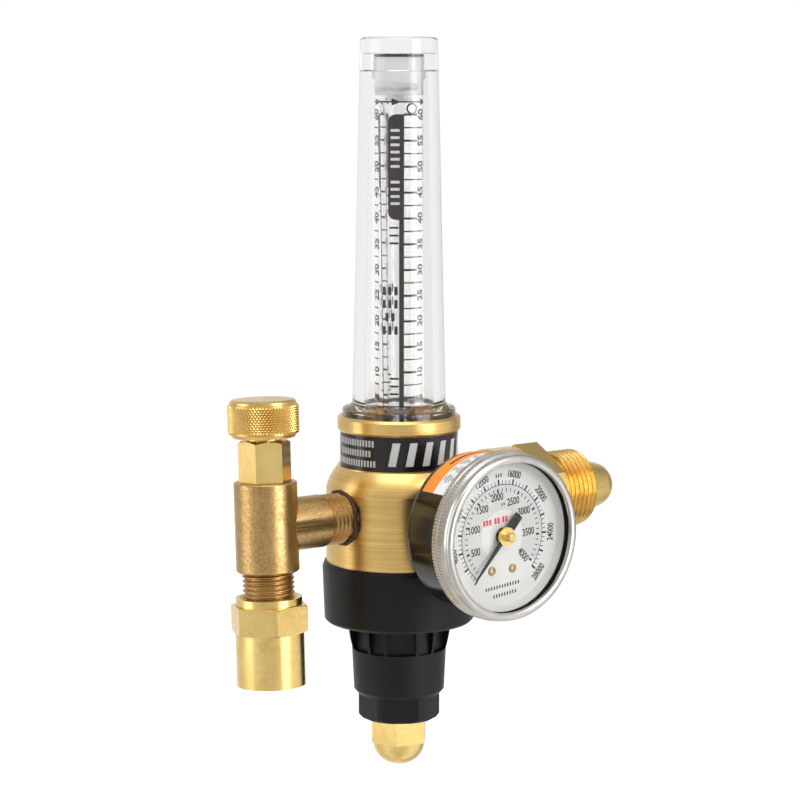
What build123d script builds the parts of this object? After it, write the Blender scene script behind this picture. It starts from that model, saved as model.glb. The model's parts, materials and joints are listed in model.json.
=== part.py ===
from build123d import *
import os
from math import cos, radians, sin, sqrt

# Flowmeter regulator for shielding gas. All lengths are in millimetres, +Z is up.
# The origin is the centre of the inlet thread's end, on the inlet axis. +X points out of the inlet.
# The main upright axis stands behind it, the gauge faces -Y and the outlet valve is on the -X side.

# Clearances
seat_gap = 0.05  # between pieces of one body that screw or press together
run_gap = 0.05  # radial clearance of running fits
free_gap = 0.3  # between pieces of different bodies that pass or meet each other

# Places of the main groups
gauge_drop = 0.7  # gauge axis below the inlet axis
valve_offset = 48.4  # main axis to the valve axis
valve_lean = 2.4  # degrees that the screwed-in valve leans, with its top away from the gauge

# Body
body_r = 22.0
body_below = 15.0  # port axis down to the bonnet's rim
spigot_r = 20.5
spigot_length = 14.0
shoulder_z = 7.0  # where the straight flank ends
shoulder_top_z = 13.9
shoulder_lean = 0.2  # inward slope at the foot of the shoulder's curve
collar_r = 18.5
collar_height = 4.7
collar_edge = 0.7
band_depth = 1.1  # groove for the label
band_bottom_z = 14.3
band_height = 10.3
band_thick = 0.25
pocket_depth = 2.8  # for the cover's flange
well_depth = 7.0  # ring chamber round the flow tube
well_wall = 0.2  # well is wider than the cover's bore by this
tube_seat_depth = 2.7
feed_r = 2.5
chamber_r = 5.0
chamber_top_z = 5.0
nozzle_r = 7.0
nozzle_length = 8.0
recess_r = 16.0  # over the diaphragm
recess_depth = 2.6
drill_r = 1.6  # gas passages

# Ports in the body
outlet_port_depth = 10.0
inlet_port_depth = 10.0
gauge_port_depth = 9.0
port_tail_r = 2.0
port_lip = 0.55  # counterbore for the sealant, beyond the thread
port_lip_depth = 2.4

# Cover, flow tube and float
flange_r = 17.0
flange_height = 4.9
flange_slope_r = 14.0
flange_slope_height = 1.5
cover_top_r = 11.5
cover_height = 114.9  # flange face to the top
cover_edge = 1.4
cover_bore_bottom_r = 10.7
cover_bore_top_r = 8.6
cover_roof = 9.8  # solid top above the wide bore
cover_nest_r = 7.6  # narrow bore for the plug
cover_nest_roof = 4.7
tube_r = 7.2
tube_bore_bottom_r = 3.4
tube_bore_top_r = 4.3
tube_stop_height = 6.2
plug_r = 7.5
plug_ring_r = 7.95
plug_ring_height = 2.3
plug_lower = 4.7  # plug below its ring
plug_spigot_length = 2.1
plug_vent_r = 1.1
ring_section_r = 0.6  # top ring's section
seal_width = 2.4
seal_thick = 1.4
seal_mid_r = 13.9
float_r = 3.1
stop_bore_r = 1.6

# Bonnet, spring and cap
diaphragm_r = 20.0
diaphragm_thick = 1.2
bonnet_top_r = 23.2
bonnet_lip_r = 22.5
bonnet_lip_drop = 1.8
bonnet_foot_r = 22.6
bonnet_foot_round = 0.8
skirt_height = 18.4
inner_ledge = 1.6
neck_top_r = 15.65
neck_mid_r = 14.3
neck_flare = 8.6
neck_foot_r = 13.7
neck_height = 21.2
neck_slope_height = 1.6
hex_collar_r = 12.3
hex_collar_flat = 11.2  # centre to flat
hex_collar_height = 7.2
hex_collar_round = 0.8
bonnet_turn = -124.5  # degrees, direction that a wide pocket and a flat of the collar face
spring_bore_r = 10.8
bonnet_floor = 7.8
pocket_width = 8.6  # wide pockets in the neck
slot_width = 4.6  # narrow pockets between them
neck_pocket_depth = 1.15
neck_pocket_height = 8.6
plate_r = 12.0
plate_thick = 1.4
plate_pilot_r = 5.4
plate_pilot_height = 2.2
spring_wire_r = 1.3
spring_mid_r = 7.6
spring_turns = 3.5
button_r = 9.4
button_thick = 2.6
button_lift = 1.6  # over the bonnet's floor
screw_r = 4.0
screw_proud = 9.4  # beyond the bonnet, inside the cap
screw_socket_flat = 4.0
screw_socket_depth = 5.0
acorn_flat = 15.8  # across flats
acorn_hex_height = 7.7
acorn_dome_height = 6.8
acorn_tip_r = 3.3
acorn_turn = -11.7
acorn_bore_depth = 10.6

# Reducing valve
orifice_r = 1.5
poppet_r = 3.4
poppet_height = 7.0
poppet_pin_r = 0.9
poppet_cone = 1.2
poppet_lift = 0.6
poppet_pilot_r = 1.9
poppet_pilot_height = 2.0
poppet_wire_r = 0.35
poppet_coil_r = 2.6
poppet_coil_turns = 3.0

# Inlet
thread_r = 12.25
thread_length = 14.0
thread_chamfer = 0.8
nut_hex_flat = 27.5  # across flats
nut_hex_length = 9.65
nut_hex_chamfer = 0.7
nut_back_r = 15.3
nut_back_length = 11.7
nut_back_round = 1.4
nut_mouth_r = 9.8
nut_play = 1.7  # between the nut's back and the nipple's shoulder
nut_shoulder_depth = 9.6
nipple_thread_r = 7.0
nipple_shoulder_r = 8.5
nipple_shoulder_length = 9.6
nipple_stem_r = 6.9
nipple_head_r = 9.3
nose_r = 7.3
nose_reach = 15.1
nose_taper_r = 7.2
nipple_bore_r = 2.2
filter_r = 3.2
filter_length = 8.0

# Gauge
socket_length = 9.8  # between the body and the case
socket_thread_r = 6.4
socket_flat = 12.0
socket_neck_r = 5.0
socket_block_r = 6.0
case_r = 22.8
case_wall = 0.8
case_round = 3.0
case_rim = 2.3  # dial to the case's front edge
bezel_proud = 1.7  # bezel wider than the case by this, all round
bezel_overlap = 4.2
bezel_ridge = 1.7
bezel_slope = 0.3
bezel_groove_width = 0.5
bezel_groove = 0.45
bezel_step = 0.6
bezel_edge = 0.4
bezel_wall = 1.5  # beside the window
bezel_lip = 1.3  # over the window's edge
bezel_lip_thick = 1.4
window_edge = 1.4
window_thick = 1.3
window_gap = 0.35  # over the tip of the pointer's arbor
gasket_thick = 0.5
dial_gap = 0.3
dial_thick = 0.5
dial_standoff = 2.2
dial_hole_r = 2.4
dial_screw_r = 1.3
dial_screw_x = 3.85
dial_screw_z = -9.85
sticker_thick = 0.15
sticker_inset = 3.6  # from the back of the case
sticker_arc = 110.0
coil_gap = 1.6  # case to the curved tube
coil_inset = 3.5  # dial's edge to the curved tube's middle
tube_section_r = 1.3
tube_sweep = 250.0
plate_boss = 2.2  # socket to the movement's back plate
plate_gap = 5.2
movement_plate_thick = 0.8
movement_width = 11.0
post_r = 1.1
arbor_r = 0.7
gear_module = 0.3
pinion_teeth = 10
sector_teeth = 80  # as a full wheel
sector_cut = 12  # teeth that the sector has
sector_rim = 1.4
gear_lift = 2.8  # over the back plate's outer face
gear_width = 1.6
pointer_lift = 1.2  # over the dial
pointer_thick = 0.35
pointer_reach = 15.9
pointer_tail = 7.7
pointer_root_w = 1.7
pointer_tip_w = 0.35
pointer_tail_w = 2.8
pointer_rest = 228.0  # degrees, direction at no pressure, seen from the front
hub_r = 2.8
hub_thick = 0.8
hub_boss_r = 1.35
hub_boss_length = 2.6
hub_collar_r = 1.8
hub_collar_length = 1.0

# Outlet valve
tee_r = 9.2
tee_top_z = 13.5
tee_bottom_z = -12.9
tee_edge = 0.6
tee_chamfer_r = 8.5
stub_r = 7.8
stub_end = 29.6  # main axis to the end of the plain stub
male_r = 7.6
male_length = 12.0
tee_bore_r = 3.5
tee_seat_r = 1.6
tee_seat_z = -5.0
tee_seat_thick = 2.0
gland_r = 6.0
gland_depth = 6.5
packing_thick = 3.0
packing_r = 5.4
packing_nut_flat = 13.4
packing_nut_height = 12.0
packing_nut_turn = 36.2
packing_nut_edge = 0.7
stem_r = 3.0
needle_r = 1.45
needle_tip_r = 0.5
needle_length = 5.0
knob_r = 10.4
knob_bottom_z = 26.9
knob_height = 10.6
knob_edge = 0.9
knob_bore_depth = 6.4
sleeve_r = 10.05
sleeve_length = 15.5
adapter_flat = 20.4
adapter_hex_height = 8.3
adapter_hex_edge = 0.7
adapter_turn = 7.4
adapter_collar_r = 9.7
adapter_collar_height = 2.1
adapter_mouth_r = 8.7
adapter_top_z = -20.2
adapter_socket_depth = 5.0
adapter_way_r = 3.5
outlet_r = 7.2
outlet_depth = 12.5

# Planes and axes
nut_length = nut_back_length + nut_hex_length + nut_hex_chamfer + thread_length
inlet_reach = body_r + nipple_shoulder_length + nut_play + nut_length
main_point = (-inlet_reach, 0, 0)
front = Plane(origin=main_point, x_dir=(1, 0, 0), z_dir=(0, -1, 0))
level = Plane(origin=main_point, x_dir=(1, 0, 0), z_dir=(0, 0, 1))
main_axis = Axis(main_point, (0, 0, 1))
gauge_point = (-inlet_reach, 0, -gauge_drop)
gauge_front = Plane(origin=gauge_point, x_dir=(1, 0, 0), z_dir=(0, -1, 0))
gauge_side = Plane(origin=gauge_point, x_dir=(0, -1, 0), z_dir=(-1, 0, 0))
gauge_axis = Axis(gauge_point, (0, -1, 0))
valve_point = (-inlet_reach - valve_offset, 0, 0)
lean_sin = sin(radians(valve_lean))
lean_cos = cos(radians(valve_lean))
valve_side = Plane(origin=valve_point, x_dir=(1, 0, 0), z_dir=(0, -lean_cos, lean_sin))
valve_level = Plane(origin=valve_point, x_dir=(1, 0, 0), z_dir=(0, lean_sin, lean_cos))
valve_axis = Axis(valve_point, (0, lean_sin, lean_cos))

# Heights and distances that follow from the sizes
rim_z = -body_below
spigot_z = rim_z - spigot_length
band_top_z = band_bottom_z + band_height
band_seat_r = collar_r - band_depth
body_top_z = band_top_z + collar_height
pocket_r = flange_r + seat_gap
shelf_z = body_top_z - pocket_depth
well_r = cover_bore_bottom_r + well_wall
well_z = shelf_z - well_depth
tube_z = well_z - tube_seat_depth
recess_top_z = spigot_z + recess_depth
nozzle_top_z = recess_top_z + nozzle_length
feed_z = chamber_top_z + drill_r * 3.5
cross_reach = recess_r - 3 * drill_r
drop_reach = well_r - drill_r * 1.2
outlet_port_r = male_r + seat_gap
outlet_port_floor = body_r - outlet_port_depth
inlet_port_r = nipple_thread_r + seat_gap
gauge_port_r = socket_thread_r + seat_gap
cover_top_z = shelf_z + cover_height
flange_top_z = shelf_z + flange_height
slope_top_z = flange_top_z + flange_slope_height
cover_bore_roof_z = cover_top_z - cover_roof
nest_roof_z = cover_top_z - cover_nest_roof
plug_top_z = nest_roof_z - 2 * ring_section_r
plug_ring_top_z = cover_bore_roof_z - seat_gap
plug_ring_bottom_z = plug_ring_top_z - plug_ring_height
tube_top_z = plug_ring_bottom_z - plug_lower
plug_spigot_z = tube_top_z - plug_spigot_length
stop_top_z = tube_z + tube_stop_height
float_z = stop_top_z + sqrt(float_r**2 - stop_bore_r**2) + free_gap
float_travel = plug_spigot_z - float_r - free_gap - float_z

with BuildPart() as regulator_body:
    with BuildSketch(front):
        with BuildLine():
            Polyline(
                (0, spigot_z),
                (spigot_r, spigot_z),
                (spigot_r, rim_z),
                (body_r, rim_z),
                (body_r, shoulder_z),
            )
            TangentArc((body_r, shoulder_z), (collar_r, shoulder_top_z), tangent=(-shoulder_lean, 1))
            Polyline(
                (collar_r, shoulder_top_z),
                (collar_r, band_bottom_z),
                (band_seat_r, band_bottom_z),
                (band_seat_r, band_top_z),
                (collar_r - collar_edge, band_top_z),
                (collar_r, band_top_z + collar_edge),
                (collar_r, body_top_z - collar_edge),
                (collar_r - collar_edge, body_top_z),
                (pocket_r, body_top_z),
                (pocket_r, shelf_z),
                (well_r, shelf_z),
                (well_r, well_z),
                (tube_r + seat_gap, well_z),
                (tube_r + seat_gap, tube_z),
                (feed_r, tube_z),
                (feed_r, feed_z),
                (0, feed_z),
                (0, spigot_z),
            )
        make_face()
    revolve(axis=main_axis)
    # groove for the flat seal under the cover's flange
    with BuildSketch(front):
        with Locations((seal_mid_r, shelf_z - seal_thick / 2)):
            Rectangle(seal_width, seal_thick)
    revolve(axis=main_axis, mode=Mode.SUBTRACT)
    # room over the diaphragm, nozzle thread and high-pressure chamber
    with BuildSketch(front):
        with BuildLine():
            Polyline(
                (0, spigot_z),
                (recess_r, spigot_z),
                (recess_r, recess_top_z),
                (nozzle_r, recess_top_z),
                (nozzle_r, nozzle_top_z),
                (chamber_r, nozzle_top_z),
                (chamber_r, chamber_top_z),
                (0, chamber_top_z),
                close=True,
            )
        make_face()
    revolve(axis=main_axis, mode=Mode.SUBTRACT)
    # outlet port towards the valve
    with BuildSketch(Plane(origin=main_point, z_dir=(-1, 0, 0)).offset(outlet_port_floor)):
        Circle(outlet_port_r)
    extrude(amount=outlet_port_depth, mode=Mode.SUBTRACT)
    with BuildSketch(Plane(origin=main_point, z_dir=(-1, 0, 0)).offset(body_r - port_lip_depth)):
        Circle(outlet_port_r + port_lip)
    extrude(amount=port_lip_depth, mode=Mode.SUBTRACT)
    with BuildSketch(Plane(origin=main_point, z_dir=(-1, 0, 0)).offset(drop_reach - drill_r)):
        Circle(port_tail_r)
    extrude(amount=outlet_port_floor - drop_reach + drill_r, mode=Mode.SUBTRACT)
    # inlet port
    with BuildSketch(Plane(origin=main_point, z_dir=(1, 0, 0)).offset(body_r - inlet_port_depth)):
        Circle(inlet_port_r)
    extrude(amount=inlet_port_depth, mode=Mode.SUBTRACT)
    with BuildSketch(Plane(origin=main_point, z_dir=(1, 0, 0))):
        Circle(port_tail_r)
    extrude(amount=body_r - inlet_port_depth, mode=Mode.SUBTRACT)
    # gauge port
    with BuildSketch(gauge_front.offset(body_r - gauge_port_depth)):
        Circle(gauge_port_r)
    extrude(amount=gauge_port_depth, mode=Mode.SUBTRACT)
    with BuildSketch(gauge_front):
        Circle(drill_r)
    extrude(amount=body_r - gauge_port_depth, mode=Mode.SUBTRACT)
    # low-pressure way up to the foot of the flow tube
    with BuildSketch(level.offset(recess_top_z)):
        with Locations((0, cross_reach)):
            Circle(drill_r)
    extrude(amount=feed_z + drill_r - recess_top_z, mode=Mode.SUBTRACT)
    with BuildSketch(front.offset(-cross_reach)):
        with Locations((0, feed_z + drill_r)):
            Circle(drill_r)
    extrude(amount=cross_reach, mode=Mode.SUBTRACT)
    # way down from the ring chamber to the outlet port
    with BuildSketch(level):
        with Locations((-drop_reach, 0)):
            Circle(drill_r / 2)
    extrude(amount=well_z, mode=Mode.SUBTRACT)

with BuildPart() as label_band:
    with BuildSketch(level.offset(band_bottom_z + seat_gap)):
        Circle(band_seat_r + seat_gap + band_thick)
        Circle(band_seat_r + seat_gap, mode=Mode.SUBTRACT)
    extrude(amount=band_height - 2 * seat_gap)

with BuildPart() as tube_cover:
    with BuildSketch(front):
        with BuildLine():
            Polyline(
                (cover_bore_bottom_r, shelf_z),
                (flange_r, shelf_z),
                (flange_r, flange_top_z - cover_edge / 2),
                (flange_r - cover_edge / 2, flange_top_z),
                (flange_slope_r, slope_top_z),
                (cover_top_r, cover_top_z - cover_edge),
            )
            RadiusArc(
                (cover_top_r, cover_top_z - cover_edge),
                (cover_top_r - cover_edge, cover_top_z),
                -cover_edge,
            )
            Polyline(
                (cover_top_r - cover_edge, cover_top_z),
                (0, cover_top_z),
                (0, nest_roof_z),
                (cover_nest_r, nest_roof_z),
                (cover_nest_r, cover_bore_roof_z),
                (cover_bore_top_r, cover_bore_roof_z),
                (cover_bore_bottom_r, shelf_z),
            )
        make_face()
    revolve(axis=main_axis)

with BuildPart() as base_seal:
    with BuildSketch(front):
        with Locations((seal_mid_r, shelf_z - seal_thick / 2)):
            Rectangle(seal_width - 2 * seat_gap, seal_thick - 2 * seat_gap)
    revolve(axis=main_axis)

with BuildPart() as flow_tube:
    with BuildSketch(front):
        with BuildLine():
            Polyline(
                (tube_bore_bottom_r, tube_z),
                (tube_r, tube_z),
                (tube_r, tube_top_z),
                (tube_bore_top_r, tube_top_z),
                (tube_bore_bottom_r, stop_top_z),
                close=True,
            )
        make_face()
    revolve(axis=main_axis)

with BuildPart() as float_stop:
    with BuildSketch(level.offset(tube_z)):
        Circle(tube_bore_bottom_r - seat_gap)
        Circle(stop_bore_r, mode=Mode.SUBTRACT)
    extrude(amount=tube_stop_height)

with BuildPart() as float_ball:
    with BuildSketch(front):
        with Locations((0, float_z)):
            Circle(float_r)
            Rectangle(2 * float_r, 2 * float_r, align=(Align.MAX, Align.CENTER), mode=Mode.SUBTRACT)
    revolve(axis=main_axis)

with BuildPart() as top_plug:
    with BuildSketch(front):
        with BuildLine():
            Polyline(
                (0, plug_spigot_z),
                (tube_bore_top_r - free_gap, plug_spigot_z),
                (tube_bore_top_r - free_gap, tube_top_z),
                (tube_r, tube_top_z),
                (tube_r, plug_ring_bottom_z),
                (plug_ring_r, plug_ring_bottom_z),
                (plug_ring_r, plug_ring_top_z),
                (plug_r, plug_ring_top_z),
                (plug_r, plug_top_z),
                (0, plug_top_z),
                close=True,
            )
        make_face()
    revolve(axis=main_axis)
    # vents that let the gas out of the tube, in from below and out at the sides
    with BuildSketch(level.offset(plug_spigot_z)):
        Circle(plug_vent_r)
    extrude(amount=plug_spigot_length + plug_lower / 2, mode=Mode.SUBTRACT)
    with BuildSketch(front.offset(-tube_r)):
        with Locations((0, tube_top_z + plug_lower / 2)):
            Circle(plug_vent_r)
    extrude(amount=2 * tube_r, mode=Mode.SUBTRACT)

with BuildPart() as top_o_ring:
    with BuildSketch(front):
        with Locations((plug_r - ring_section_r - seat_gap, nest_roof_z - ring_section_r)):
            RegularPolygon(ring_section_r - seat_gap / 2, 6)
    revolve(axis=main_axis)

# Bonnet and what it holds
diaphragm_z = spigot_z - diaphragm_thick
skirt_z = rim_z - skirt_height
neck_z = skirt_z - neck_height
hex_collar_z = neck_z - neck_slope_height
bonnet_z = hex_collar_z - hex_collar_height
spring_floor_z = bonnet_z + bonnet_floor
plate_z = diaphragm_z - plate_thick

with BuildPart() as bonnet:
    with BuildSketch(front):
        with BuildLine():
            Polyline(
                (screw_r + seat_gap, bonnet_z),
                (hex_collar_r - hex_collar_round, bonnet_z),
                (hex_collar_r, bonnet_z + hex_collar_round),
                (hex_collar_r, hex_collar_z),
                (neck_foot_r, neck_z),
                (neck_mid_r, skirt_z - neck_flare),
            )
            TangentArc(
                (neck_top_r, skirt_z),
                (neck_mid_r, skirt_z - neck_flare),
                tangent=(0, -1),
            )
            Polyline(
                (neck_top_r, skirt_z),
                (bonnet_foot_r - bonnet_foot_round, skirt_z),
                (bonnet_foot_r, skirt_z + bonnet_foot_round),
                (bonnet_top_r, rim_z - bonnet_lip_drop),
                (bonnet_lip_r, rim_z),
                (spigot_r + seat_gap, rim_z),
                (spigot_r + seat_gap, diaphragm_z),
                (recess_r, diaphragm_z),
                (recess_r, diaphragm_z - inner_ledge),
                (spring_bore_r, diaphragm_z - inner_ledge),
                (spring_bore_r, spring_floor_z),
                (screw_r + seat_gap, spring_floor_z),
                (screw_r + seat_gap, bonnet_z),
            )
        make_face()
    revolve(axis=main_axis)
    # pockets under the skirt leave thin ribs between them
    for pocket in range(12):
        wide = pocket % 2 == 0
        turn = radians(bonnet_turn + 30 * pocket)
        outward = (cos(turn), sin(turn), 0)
        pocket_floor = (neck_mid_r - neck_pocket_depth) * (cos(radians(18)) if wide else 1)
        pocket_plane = Plane(origin=main_point, x_dir=(-sin(turn), cos(turn), 0), z_dir=outward)
        with BuildSketch(pocket_plane.offset(pocket_floor)):
            with Locations((0, skirt_z - neck_pocket_height / 2)):
                Rectangle(pocket_width if wide else slot_width, neck_pocket_height)
        extrude(amount=neck_top_r, mode=Mode.SUBTRACT)
    # six flats on the lower collar
    for flat in range(6):
        turn = radians(bonnet_turn + 60 * flat)
        flat_plane = Plane(origin=main_point, x_dir=(-sin(turn), cos(turn), 0), z_dir=(cos(turn), sin(turn), 0))
        with BuildSketch(flat_plane.offset(hex_collar_flat)):
            with Locations((0, bonnet_z)):
                Rectangle(2 * hex_collar_r, hex_collar_height, align=(Align.CENTER, Align.MIN))
        extrude(amount=hex_collar_r, mode=Mode.SUBTRACT)

with BuildPart() as diaphragm:
    with BuildSketch(level.offset(diaphragm_z)):
        Circle(diaphragm_r)
    extrude(amount=diaphragm_thick)

with BuildPart() as diaphragm_plate:
    with BuildSketch(level.offset(plate_z)):
        Circle(plate_r)
    extrude(amount=plate_thick)
    with BuildSketch(level.offset(plate_z - plate_pilot_height)):
        Circle(plate_pilot_r)
    extrude(amount=plate_pilot_height)

button_z = spring_floor_z + button_lift
screw_z = bonnet_z - screw_proud
button_top_z = button_z + button_thick

with BuildPart() as spring_button:
    with BuildSketch(level.offset(button_z)):
        Circle(button_r)
    extrude(amount=button_thick)
    with BuildSketch(level.offset(button_top_z)):
        Circle(plate_pilot_r)
    extrude(amount=plate_pilot_height)

with BuildPart() as adjusting_spring:
    with BuildLine():
        coil = Helix(
            pitch=(plate_z - button_top_z - 2 * spring_wire_r) / spring_turns,
            height=plate_z - button_top_z - 2 * spring_wire_r,
            radius=spring_mid_r,
            center=(-inlet_reach, 0, button_top_z + spring_wire_r),
        )
    with BuildSketch(Plane(origin=coil @ 0, z_dir=coil % 0)):
        RegularPolygon(spring_wire_r, 6)
    sweep(path=coil, is_frenet=True)

with BuildPart() as adjusting_screw:
    with BuildSketch(level.offset(screw_z)):
        Circle(screw_r)
    extrude(amount=button_z - screw_z)
    with BuildSketch(level.offset(screw_z)):
        RegularPolygon(screw_socket_flat / 2, 6, major_radius=False)
    extrude(amount=screw_socket_depth, mode=Mode.SUBTRACT)

acorn_side = acorn_flat / 2

with BuildPart() as acorn_cap:
    with BuildSketch(level.offset(bonnet_z)):
        RegularPolygon(acorn_side, 6, major_radius=False, rotation=acorn_turn)
    extrude(amount=-acorn_hex_height - acorn_dome_height)
    with BuildSketch(front):
        with BuildLine():
            Polyline(
                (screw_r + seat_gap, bonnet_z),
                (acorn_flat, bonnet_z),
                (acorn_flat, bonnet_z - acorn_hex_height),
                (acorn_side, bonnet_z - acorn_hex_height),
            )
            TangentArc(
                (acorn_side, bonnet_z - acorn_hex_height),
                (acorn_tip_r, bonnet_z - acorn_hex_height - acorn_dome_height),
                tangent=(0, -1),
            )
            Polyline(
                (acorn_tip_r, bonnet_z - acorn_hex_height - acorn_dome_height),
                (0, bonnet_z - acorn_hex_height - acorn_dome_height),
                (0, bonnet_z - acorn_bore_depth),
                (screw_r + seat_gap, bonnet_z - acorn_bore_depth),
                (screw_r + seat_gap, bonnet_z),
            )
        make_face()
    revolve(axis=main_axis, mode=Mode.INTERSECT)

# Reducing valve over the diaphragm
poppet_z = nozzle_top_z + free_gap

with BuildPart() as valve_seat:
    with BuildSketch(level.offset(recess_top_z)):
        Circle(nozzle_r - seat_gap)
        Circle(orifice_r, mode=Mode.SUBTRACT)
    extrude(amount=nozzle_length)

with BuildPart() as valve_poppet:
    with BuildSketch(front):
        with BuildLine():
            Polyline(
                (0, spigot_z + free_gap),
                (poppet_pin_r, spigot_z + free_gap),
                (poppet_pin_r, poppet_z),
                (poppet_r - poppet_cone, poppet_z),
                (poppet_r, poppet_z + poppet_cone),
                (poppet_r, poppet_z + poppet_height),
                (poppet_pilot_r, poppet_z + poppet_height),
                (poppet_pilot_r, poppet_z + poppet_height + poppet_pilot_height),
                (0, poppet_z + poppet_height + poppet_pilot_height),
                close=True,
            )
        make_face()
    revolve(axis=main_axis)

poppet_coil_bottom = poppet_z + poppet_height + poppet_wire_r
poppet_coil_height = chamber_top_z - poppet_wire_r - poppet_coil_bottom

with BuildPart() as poppet_spring:
    with BuildLine():
        small_coil = Helix(
            pitch=poppet_coil_height / poppet_coil_turns,
            height=poppet_coil_height,
            radius=poppet_coil_r,
            center=(-inlet_reach, 0, poppet_coil_bottom),
        )
    with BuildSketch(Plane(origin=small_coil @ 0, z_dir=small_coil % 0)):
        RegularPolygon(poppet_wire_r, 6)
    sweep(path=small_coil, is_frenet=True)

# Inlet: the nipple is screwed into the body, and the nut turns on it
body_face_x = body_r - inlet_reach
nut_hex_x = -thread_length - nut_hex_chamfer
nut_back_x = nut_hex_x - nut_hex_length
nut_end_x = -nut_length
head_back_x = -nut_shoulder_depth + free_gap
nose_centre_x = nose_reach - nose_r
nose_join_x = nose_centre_x + sqrt(nose_r**2 - nose_taper_r**2)

with BuildPart() as inlet_nipple:
    with BuildSketch(Plane.XZ):
        with BuildLine():
            Polyline(
                (body_face_x - inlet_port_depth, nipple_bore_r),
                (body_face_x - inlet_port_depth, nipple_thread_r),
                (body_face_x, nipple_thread_r),
                (body_face_x, nipple_shoulder_r),
                (body_face_x + nipple_shoulder_length, nipple_shoulder_r),
                (body_face_x + nipple_shoulder_length, nipple_stem_r),
                (head_back_x, nipple_stem_r),
                (head_back_x, nipple_head_r),
                (thread_chamfer, nipple_head_r),
                (nose_join_x, nose_taper_r),
            )
            RadiusArc(
                (nose_join_x, nose_taper_r),
                (nose_centre_x + sqrt(nose_r**2 - nipple_bore_r**2), nipple_bore_r),
                nose_r,
            )
            Line(
                (nose_centre_x + sqrt(nose_r**2 - nipple_bore_r**2), nipple_bore_r),
                (body_face_x - inlet_port_depth, nipple_bore_r),
            )
        make_face()
    revolve(axis=Axis.X)
    with BuildSketch(Plane.YZ.offset(body_face_x - inlet_port_depth)):
        Circle(filter_r + seat_gap)
    extrude(amount=filter_length, mode=Mode.SUBTRACT)

with BuildPart() as inlet_filter:
    with BuildSketch(Plane.YZ.offset(body_face_x - inlet_port_depth)):
        Circle(filter_r)
    extrude(amount=filter_length - seat_gap)

with BuildPart() as inlet_nut:
    with BuildSketch(Plane.YZ.offset(nut_back_x)):
        RegularPolygon(nut_hex_flat / 2, 6, major_radius=False, rotation=30)
    extrude(amount=nut_hex_length + nut_hex_chamfer)
    with BuildSketch(Plane.XZ):
        with BuildLine():
            Polyline(
                (nut_back_x, 0),
                (nut_back_x, nut_hex_flat),
                (nut_hex_x, nut_hex_flat),
                (nut_hex_x, nut_hex_flat / sqrt(3)),
                (-thread_length, thread_r),
                (-thread_length, 0),
                close=True,
            )
        make_face()
    revolve(axis=Axis.X, mode=Mode.INTERSECT)
    with BuildSketch(Plane.XZ):
        with BuildLine():
            Polyline(
                (nut_end_x, 0),
                (nut_end_x, nut_back_r - nut_back_round),
                (nut_end_x + nut_back_round, nut_back_r),
                (nut_back_x, nut_back_r),
                (nut_back_x, 0),
                close=True,
            )
        make_face()
    revolve(axis=Axis.X)
    with BuildSketch(Plane.XZ):
        with BuildLine():
            Polyline(
                (-thread_length, 0),
                (-thread_length, thread_r),
                (0, thread_r),
                (thread_chamfer, thread_r - thread_chamfer),
                (thread_chamfer, 0),
                close=True,
            )
        make_face()
    revolve(axis=Axis.X)
    # stepped bore that runs on the nipple's stem and clears its head
    with BuildSketch(Plane.XZ):
        with BuildLine():
            Polyline(
                (nut_end_x, 0),
                (nut_end_x, nipple_stem_r + run_gap),
                (-nut_shoulder_depth, nipple_stem_r + run_gap),
                (-nut_shoulder_depth, nut_mouth_r),
                (thread_chamfer, nut_mouth_r),
                (thread_chamfer, 0),
                close=True,
            )
        make_face()
    revolve(axis=Axis.X, mode=Mode.SUBTRACT)

# Gauge, drawn as distance forward of the main axis and height
case_back = body_r + socket_length
socket_block_end = case_back + case_wall + coil_gap + 2 * tube_section_r
tube_coil_y = socket_block_end - tube_section_r
plate_back_y = socket_block_end + plate_boss
gear_back_y = plate_back_y + gear_lift
plate_front_y = plate_back_y + movement_plate_thick + plate_gap
movement_end = plate_front_y + movement_plate_thick
dial_front = movement_end + dial_standoff + dial_thick
pointer_back = dial_front + pointer_lift
boss_end = pointer_back + pointer_thick + hub_thick + hub_boss_length
case_front = dial_front + case_rim
window_back = case_front + gasket_thick
window_front = window_back + window_edge
window_rise = boss_end + window_gap + window_thick - window_front
bezel_back = case_front - bezel_overlap
bezel_front = window_front + bezel_lip_thick
sticker_back = case_back + sticker_inset
ridge_end = bezel_back + bezel_ridge
groove_start = ridge_end + bezel_slope
groove_end = groove_start + bezel_groove_width

# Radii in the gauge
case_inner_r = case_r - case_wall
dial_r = case_inner_r - dial_gap
tube_coil_r = dial_r - coil_inset
bezel_r = case_r + bezel_proud
bezel_front_r = bezel_r - bezel_step
window_r = bezel_r - bezel_wall
bezel_lip_r = window_r - bezel_lip

with BuildPart() as gauge_case:
    with BuildSketch(gauge_side):
        with BuildLine():
            Polyline((case_back, socket_neck_r + seat_gap), (case_back, case_r - case_round))
            RadiusArc((case_back, case_r - case_round), (case_back + case_round, case_r), case_round)
            Polyline(
                (case_back + case_round, case_r),
                (case_front, case_r),
                (case_front, case_inner_r),
                (case_back + case_round, case_inner_r),
                (case_back + case_wall, case_r - case_round),
                (case_back + case_wall, socket_neck_r + seat_gap),
                (case_back, socket_neck_r + seat_gap),
            )
        make_face()
    revolve(axis=gauge_axis)

with BuildPart() as gauge_sticker:
    with BuildSketch(gauge_front.offset(sticker_back)):
        with BuildLine():
            sticker_r = case_r + seat_gap
            sticker_outer_r = sticker_r + sticker_thick
            start = 90 - sticker_arc / 2
            inner = CenterArc((0, 0), sticker_r, start, sticker_arc)
            outer = CenterArc((0, 0), sticker_outer_r, start, sticker_arc)
            Line(inner @ 0, outer @ 0)
            Line(inner @ 1, outer @ 1)
        make_face()
    extrude(amount=bezel_back - seat_gap - sticker_back)

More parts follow.
